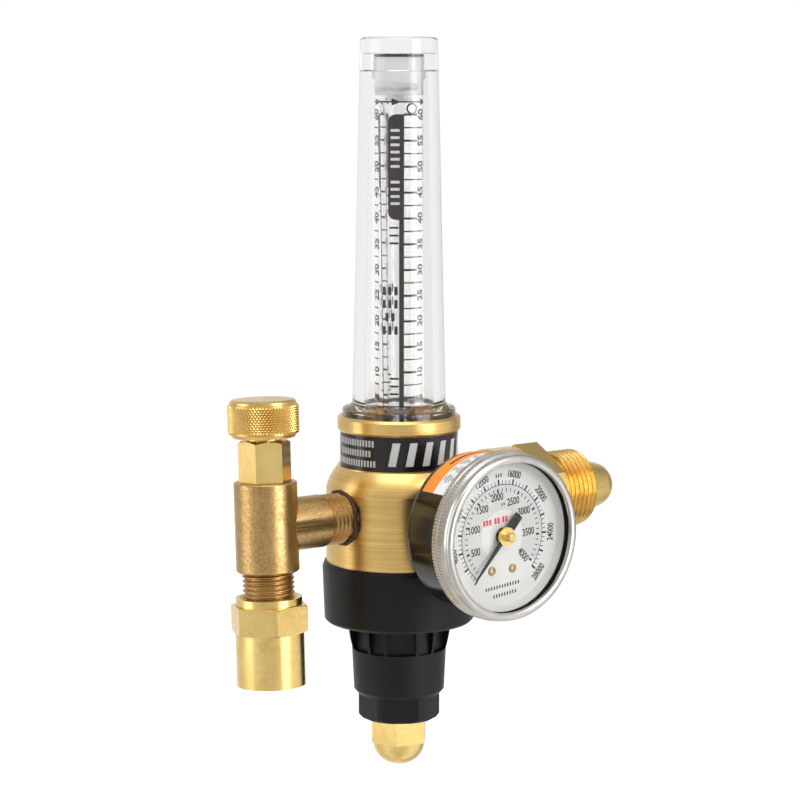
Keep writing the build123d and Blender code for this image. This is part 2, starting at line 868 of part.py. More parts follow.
with BuildPart() as gauge_bezel:
    with BuildSketch(gauge_side):
        with BuildLine():
            Polyline(
                (bezel_back, case_r + seat_gap),
                (bezel_back, bezel_r - bezel_groove),
                (bezel_back + bezel_groove, bezel_r),
                (ridge_end, bezel_r),
                (groove_start, bezel_r - bezel_groove),
                (groove_end, bezel_r - bezel_groove),
                (groove_end + bezel_slope, bezel_r),
                (case_front, bezel_r),
                (case_front + 2 * bezel_slope, bezel_front_r - bezel_groove),
                (window_front - bezel_edge, bezel_front_r - bezel_groove),
                (window_front, bezel_front_r),
                (bezel_front - bezel_step, bezel_front_r),
                (bezel_front, bezel_front_r - bezel_step),
                (bezel_front, bezel_lip_r + bezel_edge),
                (bezel_front - bezel_edge, bezel_lip_r),
                (window_front + seat_gap, bezel_lip_r),
                (window_front + seat_gap, window_r + seat_gap),
                (case_front, window_r + seat_gap),
                (case_front, case_r + seat_gap),
                close=True,
            )
        make_face()
    revolve(axis=gauge_axis)

with BuildPart() as window_gasket:
    with BuildSketch(gauge_front.offset(case_front)):
        Circle(window_r)
        Circle(case_inner_r, mode=Mode.SUBTRACT)
    extrude(amount=gasket_thick)

dome_r = (bezel_lip_r**2 + window_rise**2) / (2 * window_rise)
dome_centre = window_front + window_rise - dome_r
under_r = dome_r - window_thick
under_reach = sqrt(under_r**2 - (window_back - dome_centre) ** 2)

with BuildPart() as gauge_window:
    with BuildSketch(gauge_side):
        with BuildLine():
            Polyline(
                (window_back, under_reach),
                (window_back, window_r),
                (window_front, window_r),
                (window_front, bezel_lip_r),
            )
            RadiusArc((window_front, bezel_lip_r), (window_front + window_rise, 0), dome_r)
            Line((window_front + window_rise, 0), (dome_centre + under_r, 0))
            RadiusArc((window_back, under_reach), (dome_centre + under_r, 0), under_r)
        make_face()
    revolve(axis=gauge_axis)

with BuildPart() as gauge_dial:
    with BuildSketch(gauge_front.offset(dial_front - dial_thick)):
        Circle(dial_r)
        Circle(dial_hole_r, mode=Mode.SUBTRACT)
        with Locations((-dial_screw_x, dial_screw_z), (dial_screw_x, dial_screw_z)):
            Circle(dial_screw_r / 2 + seat_gap, mode=Mode.SUBTRACT)
    extrude(amount=dial_thick)

with BuildPart() as dial_screws:
    with BuildSketch(gauge_front.offset(dial_front)):
        with Locations((-dial_screw_x, dial_screw_z), (dial_screw_x, dial_screw_z)):
            Circle(dial_screw_r)
    extrude(amount=dial_screw_r / 2)
    with BuildSketch(gauge_front.offset(movement_end)):
        with Locations((-dial_screw_x, dial_screw_z), (dial_screw_x, dial_screw_z)):
            Circle(dial_screw_r / 2)
    extrude(amount=dial_front - movement_end)

arm_length = tube_coil_r - tube_section_r / 2 - free_gap

with BuildPart() as gauge_socket:
    with BuildSketch(gauge_front.offset(body_r - gauge_port_depth)):
        Circle(socket_thread_r)
        Circle(drill_r, mode=Mode.SUBTRACT)
    extrude(amount=gauge_port_depth)
    with BuildSketch(gauge_front.offset(body_r)):
        Rectangle(socket_flat, socket_flat)
        Circle(drill_r, mode=Mode.SUBTRACT)
    extrude(amount=socket_length)
    with BuildSketch(gauge_front.offset(case_back)):
        Circle(socket_neck_r)
        Circle(drill_r, mode=Mode.SUBTRACT)
    extrude(amount=case_wall)
    with BuildSketch(gauge_front.offset(case_back + case_wall)):
        Circle(socket_block_r)
    extrude(amount=socket_block_end - case_back - case_wall)
    # arm that carries the root of the curved tube
    with BuildSketch(gauge_front.offset(tube_coil_y - tube_section_r)):
        Rectangle(socket_neck_r, arm_length, align=(Align.CENTER, Align.MAX))
    extrude(amount=2 * tube_section_r)

with BuildPart() as bourdon_tube:
    with BuildLine(gauge_front.offset(tube_coil_y)):
        curve = CenterArc((0, 0), tube_coil_r, -90, tube_sweep)
    with BuildSketch(Plane(origin=curve @ 0, x_dir=(0, 0, 1), z_dir=curve % 0)):
        Rectangle(tube_section_r, 2 * tube_section_r)
    sweep(path=curve)

sector_pitch_r = gear_module * sector_teeth / 2
pinion_pitch_r = gear_module * pinion_teeth / 2
sector_drop = sector_pitch_r + pinion_pitch_r
plate_low = sector_drop + movement_width / 3
plate_high = movement_width / 2

with BuildPart() as movement_frame:
    for start_y in (plate_back_y, plate_front_y):
        with BuildSketch(gauge_front.offset(start_y)):
            with Locations((0, (plate_high - plate_low) / 2)):
                Rectangle(movement_width, plate_high + plate_low)
            Circle(arbor_r + run_gap, mode=Mode.SUBTRACT)
            with Locations((0, -sector_drop)):
                Circle(arbor_r + run_gap, mode=Mode.SUBTRACT)
        extrude(amount=movement_plate_thick)
    post_x = movement_width / 2 - 1.5 * post_r
    with BuildSketch(gauge_front.offset(plate_back_y)):
        with Locations((-post_x, plate_high - 2 * post_r), (post_x, plate_high - 2 * post_r)):
            Circle(post_r)
        with Locations((-post_x, -plate_low + 1.5 * post_r), (post_x, -plate_low + 1.5 * post_r)):
            Circle(post_r)
    extrude(amount=plate_front_y - plate_back_y)
    # screw bosses that join the back plate to the socket
    with BuildSketch(gauge_front.offset(socket_block_end)):
        with Locations((-post_x, 0), (post_x, 0)):
            Circle(post_r)
    extrude(amount=plate_back_y - socket_block_end)

# Gear tooth, drawn about its pitch point, with play for a light instrument mesh
tooth_add = 0.9 * gear_module
tooth_ded = 1.2 * gear_module
tooth_half = 0.62 * gear_module

with BuildSketch() as gear_tooth:
    with BuildLine():
        Polyline(
            (-2 * tooth_ded, -tooth_half),
            (0, -tooth_half),
            (tooth_add, -tooth_half / 3),
            (tooth_add, tooth_half / 3),
            (0, tooth_half),
            (-2 * tooth_ded, tooth_half),
            close=True,
        )
    make_face()

with BuildPart() as pointer_arbor:
    with BuildSketch(gauge_front.offset(plate_back_y)):
        Circle(arbor_r)
    extrude(amount=pointer_back - plate_back_y)
    with BuildSketch(gauge_front.offset(gear_back_y)):
        Circle(pinion_pitch_r - tooth_ded)
        with PolarLocations(pinion_pitch_r, pinion_teeth, start_angle=-90 + 180 / pinion_teeth):
            add(gear_tooth.sketch)
    extrude(amount=gear_width)
    with BuildSketch(gauge_front.offset(pointer_back - hub_collar_length)):
        Circle(hub_collar_r)
    extrude(amount=hub_collar_length)
    with BuildSketch(gauge_front.offset(pointer_back)):
        Circle(arbor_r)
    extrude(amount=pointer_thick)
    with BuildSketch(gauge_front.offset(pointer_back + pointer_thick)):
        Circle(hub_r)
    extrude(amount=hub_thick)
    with BuildSketch(gauge_front.offset(pointer_back + pointer_thick + hub_thick)):
        Circle(hub_boss_r)
    extrude(amount=hub_boss_length)
    chamfer(pointer_arbor.faces().sort_by(Axis.Y)[0].edges(), hub_boss_r / 4)

with BuildPart() as pointer:
    pointer_plane = Plane(
        origin=gauge_point,
        x_dir=(cos(radians(pointer_rest)), 0, sin(radians(pointer_rest))),
        z_dir=(0, -1, 0),
    )
    with BuildSketch(pointer_plane.offset(pointer_back)):
        with BuildLine():
            Polyline(
                (0, -pointer_root_w / 2),
                (pointer_reach, -pointer_tip_w / 2),
                (pointer_reach, pointer_tip_w / 2),
                (0, pointer_root_w / 2),
                close=True,
            )
        make_face()
        Rectangle(pointer_tail, pointer_tail_w, align=(Align.MAX, Align.CENTER))
        Circle(hub_collar_r)
        Circle(arbor_r + seat_gap, mode=Mode.SUBTRACT)
    extrude(amount=pointer_thick)

sector_point = (-inlet_reach, 0, -gauge_drop - sector_drop)
sector_front = Plane(origin=sector_point, x_dir=(1, 0, 0), z_dir=(0, -1, 0))
tooth_step = 360 / sector_teeth
rim_r = sector_pitch_r - tooth_ded

with BuildPart() as sector_gear:
    with BuildSketch(sector_front.offset(gear_back_y)):
        with BuildLine():
            arc_start = 90 + 2.5 * tooth_step - sector_cut * tooth_step
            outside = CenterArc((0, 0), rim_r, arc_start, sector_cut * tooth_step)
            inside = CenterArc((0, 0), rim_r - sector_rim, arc_start, sector_cut * tooth_step)
            Line(inside @ 0, outside @ 0)
            Line(inside @ 1, outside @ 1)
        make_face()
        first_tooth = arc_start + tooth_step / 2
        with PolarLocations(sector_pitch_r, sector_cut, first_tooth, sector_cut * tooth_step):
            add(gear_tooth.sketch)
        with PolarLocations(0, 1, arc_start + sector_cut * tooth_step / 2):
            Rectangle(rim_r - sector_rim / 2, 2 * sector_rim, align=(Align.MIN, Align.CENTER))
        Circle(2 * arbor_r)
    extrude(amount=gear_width)
    with BuildSketch(sector_front.offset(plate_back_y)):
        Circle(arbor_r)
    extrude(amount=movement_end - plate_back_y)

# Outlet valve, drawn along its own leaning axis
adapter_hex_z = adapter_top_z - adapter_collar_height
sleeve_top_z = adapter_hex_z - adapter_hex_height
sleeve_z = sleeve_top_z - sleeve_length
male_z = adapter_top_z - adapter_socket_depth + seat_gap
gland_z = tee_top_z - gland_depth
packing_z = gland_z - packing_thick
port_end_x = valve_offset - outlet_port_floor

with BuildPart() as outlet_tee:
    with BuildSketch(valve_side):
        with BuildLine():
            Polyline(
                (0, male_z),
                (male_r, male_z),
                (male_r, tee_bottom_z),
                (tee_chamfer_r, tee_bottom_z),
                (tee_r, tee_bottom_z + tee_edge),
                (tee_r, tee_top_z - tee_edge / 2),
                (tee_r - tee_edge / 2, tee_top_z),
                (0, tee_top_z),
                close=True,
            )
        make_face()
    revolve(axis=valve_axis)
    with BuildSketch(Plane(origin=valve_point, z_dir=(1, 0, 0))):
        Circle(stub_r)
    extrude(amount=valve_offset - stub_end)
    with BuildSketch(Plane(origin=valve_point, z_dir=(1, 0, 0)).offset(valve_offset - stub_end)):
        Circle(male_r)
    extrude(amount=port_end_x - valve_offset + stub_end - seat_gap)
    # way in through the stub, chamber, seat and way down
    with BuildSketch(Plane(origin=valve_point, z_dir=(1, 0, 0))):
        Circle(tee_bore_r - run_gap)
    extrude(amount=port_end_x, mode=Mode.SUBTRACT)
    with BuildSketch(valve_side):
        with BuildLine():
            Polyline(
                (0, tee_seat_z),
                (tee_seat_r, tee_seat_z),
                (tee_bore_r, tee_seat_z + tee_bore_r - tee_seat_r),
                (tee_bore_r, packing_z),
                (packing_r + seat_gap, packing_z),
                (packing_r + seat_gap, gland_z),
                (gland_r + seat_gap, gland_z),
                (gland_r + seat_gap, tee_top_z),
                (0, tee_top_z),
                close=True,
            )
        make_face()
    revolve(axis=valve_axis, mode=Mode.SUBTRACT)
    with BuildSketch(valve_side):
        with BuildLine():
            Polyline(
                (0, tee_seat_z),
                (tee_seat_r, tee_seat_z),
                (tee_seat_r, tee_seat_z - tee_seat_thick),
                (tee_bore_r, tee_seat_z - tee_seat_thick),
                (tee_bore_r, male_z),
                (0, male_z),
                close=True,
            )
        make_face()
    revolve(axis=valve_axis, mode=Mode.SUBTRACT)

with BuildPart() as thread_sealant:
    with BuildSketch(Plane(origin=main_point, z_dir=(-1, 0, 0)).offset(body_r - port_lip_depth + seat_gap)):
        Circle(outlet_port_r + port_lip - seat_gap)
        Circle(male_r + seat_gap, mode=Mode.SUBTRACT)
    extrude(amount=port_lip_depth)

with BuildPart() as packing_ring:
    with BuildSketch(valve_level.offset(packing_z + seat_gap)):
        Circle(packing_r)
        Circle(stem_r + run_gap, mode=Mode.SUBTRACT)
    extrude(amount=packing_thick - 2 * seat_gap)

packing_nut_top = tee_top_z + seat_gap + packing_nut_height

with BuildPart() as packing_nut:
    with BuildSketch(valve_level.offset(tee_top_z + seat_gap)):
        RegularPolygon(packing_nut_flat / 2, 6, major_radius=False, rotation=packing_nut_turn)
    extrude(amount=packing_nut_height)
    with BuildSketch(valve_side):
        with BuildLine():
            Polyline(
                (0, tee_top_z),
                (packing_nut_flat / sqrt(3), tee_top_z),
                (packing_nut_flat / sqrt(3), packing_nut_top - packing_nut_edge),
                (packing_nut_flat / 2, packing_nut_top),
                (0, packing_nut_top),
                close=True,
            )
        make_face()
    revolve(axis=valve_axis, mode=Mode.INTERSECT)
    with BuildSketch(valve_level.offset(gland_z + seat_gap)):
        Circle(gland_r)
    extrude(amount=gland_depth)
    with BuildSketch(valve_level.offset(gland_z)):
        Circle(stem_r + run_gap)
    extrude(amount=packing_nut_top - gland_z, mode=Mode.SUBTRACT)

knob_top_z = knob_bottom_z + knob_height
stem_top_z = knob_bottom_z + knob_bore_depth - free_gap
needle_z = tee_seat_z - tee_seat_thick / 2

with BuildPart() as valve_stem:
    with BuildSketch(valve_side):
        with BuildLine():
            Polyline(
                (0, needle_z),
                (needle_tip_r, needle_z),
                (needle_r - run_gap, needle_z + needle_length / 2),
                (stem_r, needle_z + needle_length),
                (stem_r, stem_top_z),
                (0, stem_top_z),
                close=True,
            )
        make_face()
    revolve(axis=valve_axis)

with BuildPart() as valve_knob:
    with BuildSketch(valve_side):
        with BuildLine():
            Polyline(
                (stem_r + run_gap, knob_bottom_z),
                (knob_r - knob_edge, knob_bottom_z),
                (knob_r, knob_bottom_z + knob_edge),
                (knob_r, knob_top_z - knob_edge),
                (knob_r - knob_edge, knob_top_z - knob_edge / 3),
                (knob_r - 2 * knob_edge, knob_top_z),
                (0, knob_top_z),
                (0, knob_bottom_z + knob_bore_depth),
                (stem_r + run_gap, knob_bottom_z + knob_bore_depth),
                close=True,
            )
        make_face()
    revolve(axis=valve_axis)

with BuildPart() as outlet_adapter:
    with BuildSketch(valve_level.offset(sleeve_top_z)):
        RegularPolygon(adapter_flat / 2, 6, major_radius=False, rotation=adapter_turn)
    extrude(amount=adapter_hex_height)
    with BuildSketch(valve_side):
        with BuildLine():
            Polyline(
                (0, sleeve_top_z),
                (adapter_flat / 2, sleeve_top_z),
                (adapter_flat / sqrt(3), sleeve_top_z + adapter_hex_edge),
                (adapter_flat / sqrt(3), adapter_hex_z - adapter_hex_edge),
                (adapter_flat / 2, adapter_hex_z),
                (0, adapter_hex_z),
                close=True,
            )
        make_face()
    revolve(axis=valve_axis, mode=Mode.INTERSECT)
    with BuildSketch(valve_level.offset(adapter_hex_z)):
        Circle(adapter_collar_r)
    extrude(amount=adapter_collar_height)
    with BuildSketch(valve_level.offset(sleeve_z)):
        Circle(sleeve_r)
    extrude(amount=sleeve_length)
    with BuildSketch(valve_side):
        with BuildLine():
            Polyline(
                (0, adapter_top_z),
                (adapter_mouth_r, adapter_top_z),
                (male_r + seat_gap, adapter_top_z - adapter_mouth_r + male_r),
                (male_r + seat_gap, adapter_top_z - adapter_socket_depth),
                (adapter_way_r, adapter_top_z - adapter_socket_depth),
                (adapter_way_r, sleeve_z + outlet_depth),
                (outlet_r, sleeve_z + outlet_depth),
                (outlet_r, sleeve_z),
                (0, sleeve_z),
                close=True,
            )
        make_face()
    revolve(axis=valve_axis, mode=Mode.SUBTRACT)

os.makedirs("parts", exist_ok=True)

regulator_body.part.label = "regulator_body"
label_band.part.label = "label_band"
tube_cover.part.label = "tube_cover"
base_seal.part.label = "base_seal"
flow_tube.part.label = "flow_tube"
float_stop.part.label = "float_stop"
float_ball.part.label = "float_ball"
top_plug.part.label = "top_plug"
top_o_ring.part.label = "top_o_ring"
bonnet.part.label = "bonnet"
diaphragm.part.label = "diaphragm"
diaphragm_plate.part.label = "diaphragm_plate"
spring_button.part.label = "spring_button"
adjusting_spring.part.label = "adjusting_spring"
adjusting_screw.part.label = "adjusting_screw"
acorn_cap.part.label = "acorn_cap"
valve_seat.part.label = "valve_seat"
valve_poppet.part.label = "valve_poppet"
poppet_spring.part.label = "poppet_spring"
inlet_nipple.part.label = "inlet_nipple"
inlet_filter.part.label = "inlet_filter"
inlet_nut.part.label = "inlet_nut"
gauge_case.part.label = "gauge_case"
gauge_sticker.part.label = "gauge_sticker"
gauge_bezel.part.label = "gauge_bezel"
window_gasket.part.label = "window_gasket"
gauge_window.part.label = "gauge_window"
gauge_dial.part.label = "gauge_dial"
dial_screws.part.label = "dial_screws"
gauge_socket.part.label = "gauge_socket"
bourdon_tube.part.label = "bourdon_tube"
movement_frame.part.label = "movement_frame"
sector_gear.part.label = "sector_gear"
pointer_arbor.part.label = "pointer_arbor"
pointer.part.label = "pointer"
outlet_tee.part.label = "outlet_tee"
thread_sealant.part.label = "thread_sealant"
packing_ring.part.label = "packing_ring"
packing_nut.part.label = "packing_nut"
valve_stem.part.label = "valve_stem"
valve_knob.part.label = "valve_knob"
outlet_adapter.part.label = "outlet_adapter"

pieces = (
    regulator_body, label_band, tube_cover, base_seal, flow_tube, float_stop, float_ball,
    top_plug, top_o_ring, bonnet, diaphragm, diaphragm_plate, spring_button, adjusting_spring,
    adjusting_screw, acorn_cap, valve_seat, valve_poppet, poppet_spring, inlet_nipple,
    inlet_filter, inlet_nut, gauge_case, gauge_sticker, gauge_bezel, window_gasket,
    gauge_window, gauge_dial, dial_screws, gauge_socket, bourdon_tube, movement_frame,
    sector_gear, pointer_arbor, pointer, outlet_tee, thread_sealant, packing_ring,
    packing_nut, valve_stem, valve_knob, outlet_adapter,
)
for piece in pieces:
    export_step(piece.part, f"parts/{piece.part.label}.step")
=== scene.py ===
"""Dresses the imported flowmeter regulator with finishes, threads, knurling and prints, and lights it."""
import json
import logging
import math
from contextlib import contextmanager
from dataclasses import KW_ONLY, dataclass
from enum import Enum
from functools import cache
from typing import Callable, Iterator, Self

import bpy
from mathutils import Matrix, Vector


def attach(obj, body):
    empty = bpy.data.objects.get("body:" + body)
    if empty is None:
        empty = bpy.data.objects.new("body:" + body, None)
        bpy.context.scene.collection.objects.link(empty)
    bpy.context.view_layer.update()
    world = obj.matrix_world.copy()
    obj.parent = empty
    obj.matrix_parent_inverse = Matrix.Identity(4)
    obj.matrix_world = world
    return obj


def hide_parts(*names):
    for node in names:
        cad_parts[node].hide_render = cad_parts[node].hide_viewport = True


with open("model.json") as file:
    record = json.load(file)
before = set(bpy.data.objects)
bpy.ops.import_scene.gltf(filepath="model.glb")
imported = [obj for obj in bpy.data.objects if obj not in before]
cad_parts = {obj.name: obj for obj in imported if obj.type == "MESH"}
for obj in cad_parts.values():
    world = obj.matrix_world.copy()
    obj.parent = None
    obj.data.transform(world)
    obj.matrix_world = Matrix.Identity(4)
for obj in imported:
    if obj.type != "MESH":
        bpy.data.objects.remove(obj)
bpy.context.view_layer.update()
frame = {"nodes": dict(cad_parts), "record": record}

SLOTS = {subpart["node"]: subpart["material_slot"] for subpart in frame["record"]["subparts"]}
REPLACED: set[str] = set()

# Lengths are in millimetres wherever nothing else is said, and MM turns them into Blender's metres.
MM = 0.001
# Segments round a large turned piece.
ROUND = 128
# Metres within which doubled vertices merge, and within which a cut takes a vertex as lying on it.
WELD = 2e-6
CLOSE = 1e-7
# Angle up to which the triangles of a CAD face count as flat.
FLAT = math.radians(0.4)

Object = bpy.types.Object
Socket = bpy.types.NodeSocket
Point = tuple[float, float]
Colour = tuple[float, float, float]
Names = tuple[str, ...]

WHITE = (1.0, 1.0, 1.0)
SPECK_COLOUR = (0.1, 0.06, 0.03)
SPECK_STRENGTH = 0.55

logging.basicConfig(level=logging.INFO, format="%(message)s")
LOG = logging.getLogger("flowmeter")


def srgb(red: int, green: int, blue: int) -> Colour:
    """Turns an 8-bit screen colour into the linear values that shaders use.

    Args:
        red: Red from 0 to 255.
        green: Green from 0 to 255.
        blue: Blue from 0 to 255.

    Returns:
        The linear colour.
    """
    shares = [value / 255 for value in (red, green, blue)]
    return tuple(share / 12.92 if share <= 0.04045 else ((share + 0.055) / 1.055) ** 2.4 for share in shares)


def shift(x: float, y: float, z: float) -> Matrix:
    """Gives a move in millimetres."""
    return Matrix.Translation((x * MM, y * MM, z * MM))


def spun(degrees: float) -> Matrix:
    """Gives a turn about Z, anticlockwise."""
    return Matrix.Rotation(math.radians(degrees), 4, "Z")


def around(degrees: float, radius: float) -> Vector:
    """Gives the point at an angle from X, anticlockwise, and a distance from the origin."""
    angle = math.radians(degrees)
    return Vector((math.cos(angle), math.sin(angle))) * radius


class Body(str, Enum):
    """The bodies of the regulator that the pieces here ride on."""

    REGULATOR = "regulator"
    KNOB = "valve_knob_body"
    NUT = "inlet_nut_body"
    POINTER = "gauge_pointer"


class Kind(Enum):
    """What can be selected in a mesh, with the collection that holds it."""

    VERT = "vertices"
    EDGE = "edges"
    FACE = "polygons"


class Cut(Enum):
    """What a cutting tool does to a piece."""

    AWAY = "DIFFERENCE"
    SHARED = "INTERSECT"


@dataclass(frozen=True)
class Layout:
    """Places of the main axes in the row frame, in millimetres and degrees."""

    inlet_reach: float = 69.35
    gauge_drop: float = 0.7
    valve_offset: float = 48.4
    valve_lean: float = 2.4
    photo_side: float = 232.5

    def main(self) -> Matrix:
        """Upright axis of the body and the flow tube."""
        return shift(-self.inlet_reach, 0, 0)

    def gauge(self) -> Matrix:
        """Gauge axis: local Z comes forward, X is right and Y is up."""
        turn = Matrix(((1, 0, 0), (0, 0, -1), (0, 1, 0))).to_4x4()
        return self.main() @ shift(0, 0, -self.gauge_drop) @ turn

    def inlet(self) -> Matrix:
        """Inlet axis: local Z points out of the inlet and Y is up."""
        return Matrix(((0, 0, 1), (1, 0, 0), (0, 1, 0))).to_4x4()

    def valve(self) -> Matrix:
        """Leaning upright axis of the outlet valve."""
        lean = Matrix.Rotation(-math.radians(self.valve_lean), 4, "X")
        return shift(-self.inlet_reach - self.valve_offset, 0, 0) @ lean

    def stub(self) -> Matrix:
        """Level axis of the valve's stub, with its origin on the main axis and Z towards the valve."""
        return self.main() @ Matrix(((0, 0, -1), (1, 0, 0), (0, -1, 0))).to_4x4()


LAYOUT = Layout()


def clear() -> None:
    """Leaves edit mode and deselects everything."""
    if bpy.context.object and bpy.context.object.mode != "OBJECT":
        bpy.ops.object.mode_set(mode="OBJECT")
    bpy.ops.object.select_all(action="DESELECT")


def weld() -> None:
    """Merges the doubles of the mesh in edit mode and turns its faces outwards."""
    bpy.ops.mesh.select_all(action="SELECT")
    bpy.ops.mesh.remove_doubles(threshold=WELD)
    bpy.ops.mesh.normals_make_consistent(inside=False)


def linked(name: str, data: bpy.types.ID) -> Object:
    """Puts a mesh, a camera or a lamp into the scene.

    Args:
        name: Name of the new object.
        data: What it shows.

    Returns:
        The object, at the origin.
    """
    thing = bpy.data.objects.new(name, data)
    bpy.context.scene.collection.objects.link(thing)
    return thing


class Piece:
    """A mesh object on the bench. Each step gives the piece back, so that steps follow one another."""

    def __init__(self, thing: Object, name: str) -> None:
        """Takes an object and names it and its mesh alike."""
        self.thing = thing
        thing.name = thing.data.name = name

    @property
    def mesh(self) -> bpy.types.Mesh:
        """The piece's mesh."""
        return self.thing.data

    @classmethod
    def chain(cls, name: str, points: list[Point]) -> Self:
        """Draws a profile in the XZ plane by extruding one vertex from point to point.

        Args:
            name: Name of the piece.
            points: Radius and height of each point.

        Returns:
            The piece, a chain of edges.
        """
        clear()
        bpy.ops.mesh.primitive_plane_add(size=MM)
        piece = cls(bpy.context.object, name)
        with piece.editing():
            bpy.ops.mesh.merge(type="CENTER")
            last = (0.0, 0.0)
            for number, (radius, height) in enumerate(points):
                step = ((radius - last[0]) * MM, 0, (height - last[1]) * MM)
                if number:
                    bpy.ops.mesh.extrude_region_move(TRANSFORM_OT_translate={"value": step})
                else:
                    bpy.ops.transform.translate(value=step)
                last = (radius, height)
        return piece

    @classmethod
    def turned(cls, name: str, points: list[Point], steps: int = 96) -> Self:
        """Turns a closed profile about Z, as on a lathe.

        Args:
            name: Name of the piece.
            points: Radius and height of each profile point.
            steps: Segments round the axis.

        Returns:
            The turned piece, about the origin.
        """
        piece = cls.chain(name, points + points[:1])
        with piece.editing():
            bpy.ops.mesh.spin(steps=steps, angle=math.tau, center=(0, 0, 0), axis=(0, 0, 1))
            weld()
        return piece

    @classmethod
    def rod(cls, radius: float, low: float, high: float, sides: int = 64) -> Self:
        """Makes a plain cylinder about Z for use as a cutting tool.

        Args:
            radius: Radius of the rod.
            low: Height of its lower end.
            high: Height of its upper end.
            sides: Number of its sides.

        Returns:
            The rod.
        """
        clear()
        middle = (0, 0, (low + high) / 2 * MM)
        bpy.ops.mesh.primitive_cylinder_add(
            vertices=sides, radius=radius * MM, depth=(high - low) * MM, location=middle
        )
        return cls(bpy.context.object, "tool").settle()

    @classmethod
    def of_node(cls, node: str) -> Self:
        """Copies a CAD node's mesh into a piece of its own and welds its loose triangles.

        Args:
            node: Name of the CAD node.

        Returns:
            The welded copy.
        """
        name = f"{node}_shape"
        piece = cls(linked(name, frame["nodes"][node].data.copy()), name)
        with piece.editing():
            bpy.ops.mesh.remove_doubles(threshold=WELD)
            bpy.ops.mesh.dissolve_limited(angle_limit=FLAT)
        return piece

    @classmethod
    def joined(cls, things: list[Object], name: str) -> Self:
        """Joins several objects into the first one.

        Args:
            things: The objects.
            name: Name of the piece.

        Returns:
            The joined piece.
        """
        clear()
        for thing in things:
            thing.select_set(True)
        bpy.context.view_layer.objects.active = things[0]
        if len(things) > 1:
            bpy.ops.object.join()
        return cls(things[0], name)

    def twin(self, name: str) -> Self:
        """Copies the piece with a mesh of its own."""
        return type(self)(linked(name, self.mesh.copy()), name)

    def pick(self) -> Self:
        """Makes the piece the only selected and active object.

        Returns:
            The same piece.
        """
        clear()
        self.thing.select_set(True)
        bpy.context.view_layer.objects.active = self.thing
        return self

    @contextmanager
    def editing(self, kind: Kind = Kind.VERT, chosen: bool = True) -> Iterator[None]:
        """Opens the piece in edit mode for the length of a block.

        Args:
            kind: What the select mode is set to.
            chosen: Whether all of the mesh is selected, or none of it.
        """
        self.pick()
        bpy.ops.object.mode_set(mode="EDIT")
        bpy.ops.mesh.select_mode(type=kind.name)
        bpy.ops.mesh.select_all(action="SELECT" if chosen else "DESELECT")
        yield
        bpy.ops.object.mode_set(mode="OBJECT")

    @contextmanager
    def selecting(self, kind: Kind, test: Callable[[bpy.types.bpy_struct], bool]) -> Iterator[None]:
        """Opens the piece in edit mode with a part of its mesh selected, for the length of a block.

        Args:
            kind: What is selected.
            test: Says of a vertex, an edge or a face whether it is taken.
        """
        with self.editing(kind, chosen=False):
            bpy.ops.object.mode_set(mode="OBJECT")
            for item in getattr(self.mesh, kind.value):
                item.select = bool(test(item))
            bpy.ops.object.mode_set(mode="EDIT")
            yield

    def settle(self, place: Matrix | None = None) -> Self:
        """Bakes the piece's place into its mesh, so that its object sits at the origin.

        Args:
            place: A new place in the row frame, or None where the piece stands at it already.

        Returns:
            The same piece.
        """
        self.pick()
        if place is not None:
            self.thing.matrix_world = place
        bpy.ops.object.transform_apply(location=True, rotation=True, scale=True)
        return self

    def smooth(self, angle: float) -> Self:
        """Shades the piece smooth but for its sharp edges.

        Args:
            angle: Angle in degrees above which an edge stays sharp.

        Returns:
            The same piece.
        """
        self.pick()
        bpy.ops.object.shade_smooth_by_angle(angle=math.radians(angle))
        return self

    def modify(self, kind: str, **settings: object) -> Self:
        """Adds a modifier, sets it and applies it.

        Args:
            kind: Type of the modifier.
            **settings: Its properties.

        Returns:
            The same piece.
        """
        self.pick()
        modifier = self.thing.modifiers.new(kind.title(), kind)
        for key, value in settings.items():
            setattr(modifier, key, value)
        bpy.ops.object.modifier_apply(modifier=modifier.name)
        return self

    def ease(self, width: float, angle: float, segments: int = 2) -> Self:
        """Rounds the edges that are sharper than an angle.

        Args:
            width: Width of the round.
            angle: The angle in degrees.
            segments: Segments of the round.

        Returns:
            The same piece.
        """
        return self.modify(
            "BEVEL", width=width * MM, segments=segments, limit_method="ANGLE",
            angle_limit=math.radians(angle), use_clamp_overlap=True, harden_normals=False,
        )

    def thicken(self, thickness: float) -> Self:
        """Gives a flat or wrapped print a thickness, outwards."""
        return self.modify("SOLIDIFY", thickness=thickness * MM, offset=1.0)

    def cut(self, tool: Self, what: Cut = Cut.AWAY) -> Self:
        """Cuts the piece with a tool body and removes the tool.

        Args:
            tool: The tool.
            what: Whether the tool's room is cut away, or only what they share is kept.

        Returns:
            The same piece.
        """
        self.modify("BOOLEAN", operation=what.value, object=tool.thing, solver="EXACT")
        bpy.data.objects.remove(tool.thing)
        return self

    def mount(self, body: Body, slot: str, finish: str | None = None) -> Self:
        """Paints the piece, lets it ride on a body and reports it.

        Args:
            body: Body that carries it.
            slot: The record's material slot.
            finish: Its finish, where that isn't the slot's own.

        Returns:
            The same piece.
        """
        paint(self.thing, finish or slot)
        self.modify("WEIGHTED_NORMAL", keep_sharp=True, weight=50)
        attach(self.thing, body.value)
        LOG.info("%s: %d faces on %s", self.thing.name, len(self.mesh.polygons), body.value)
        return self

    def stand_in(self, node: str, body: Body = Body.REGULATOR, finish: str | None = None) -> Self:
        """Mounts the piece in place of a CAD node, with the node's own slot.

        Args:
            node: The CAD node.
            body: Body that carries it.
            finish: Its finish, where that isn't the slot's own.

        Returns:
            The same piece.
        """
        self.mount(body, SLOTS[node], finish)
        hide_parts(node)
        REPLACED.add(node)
        return self


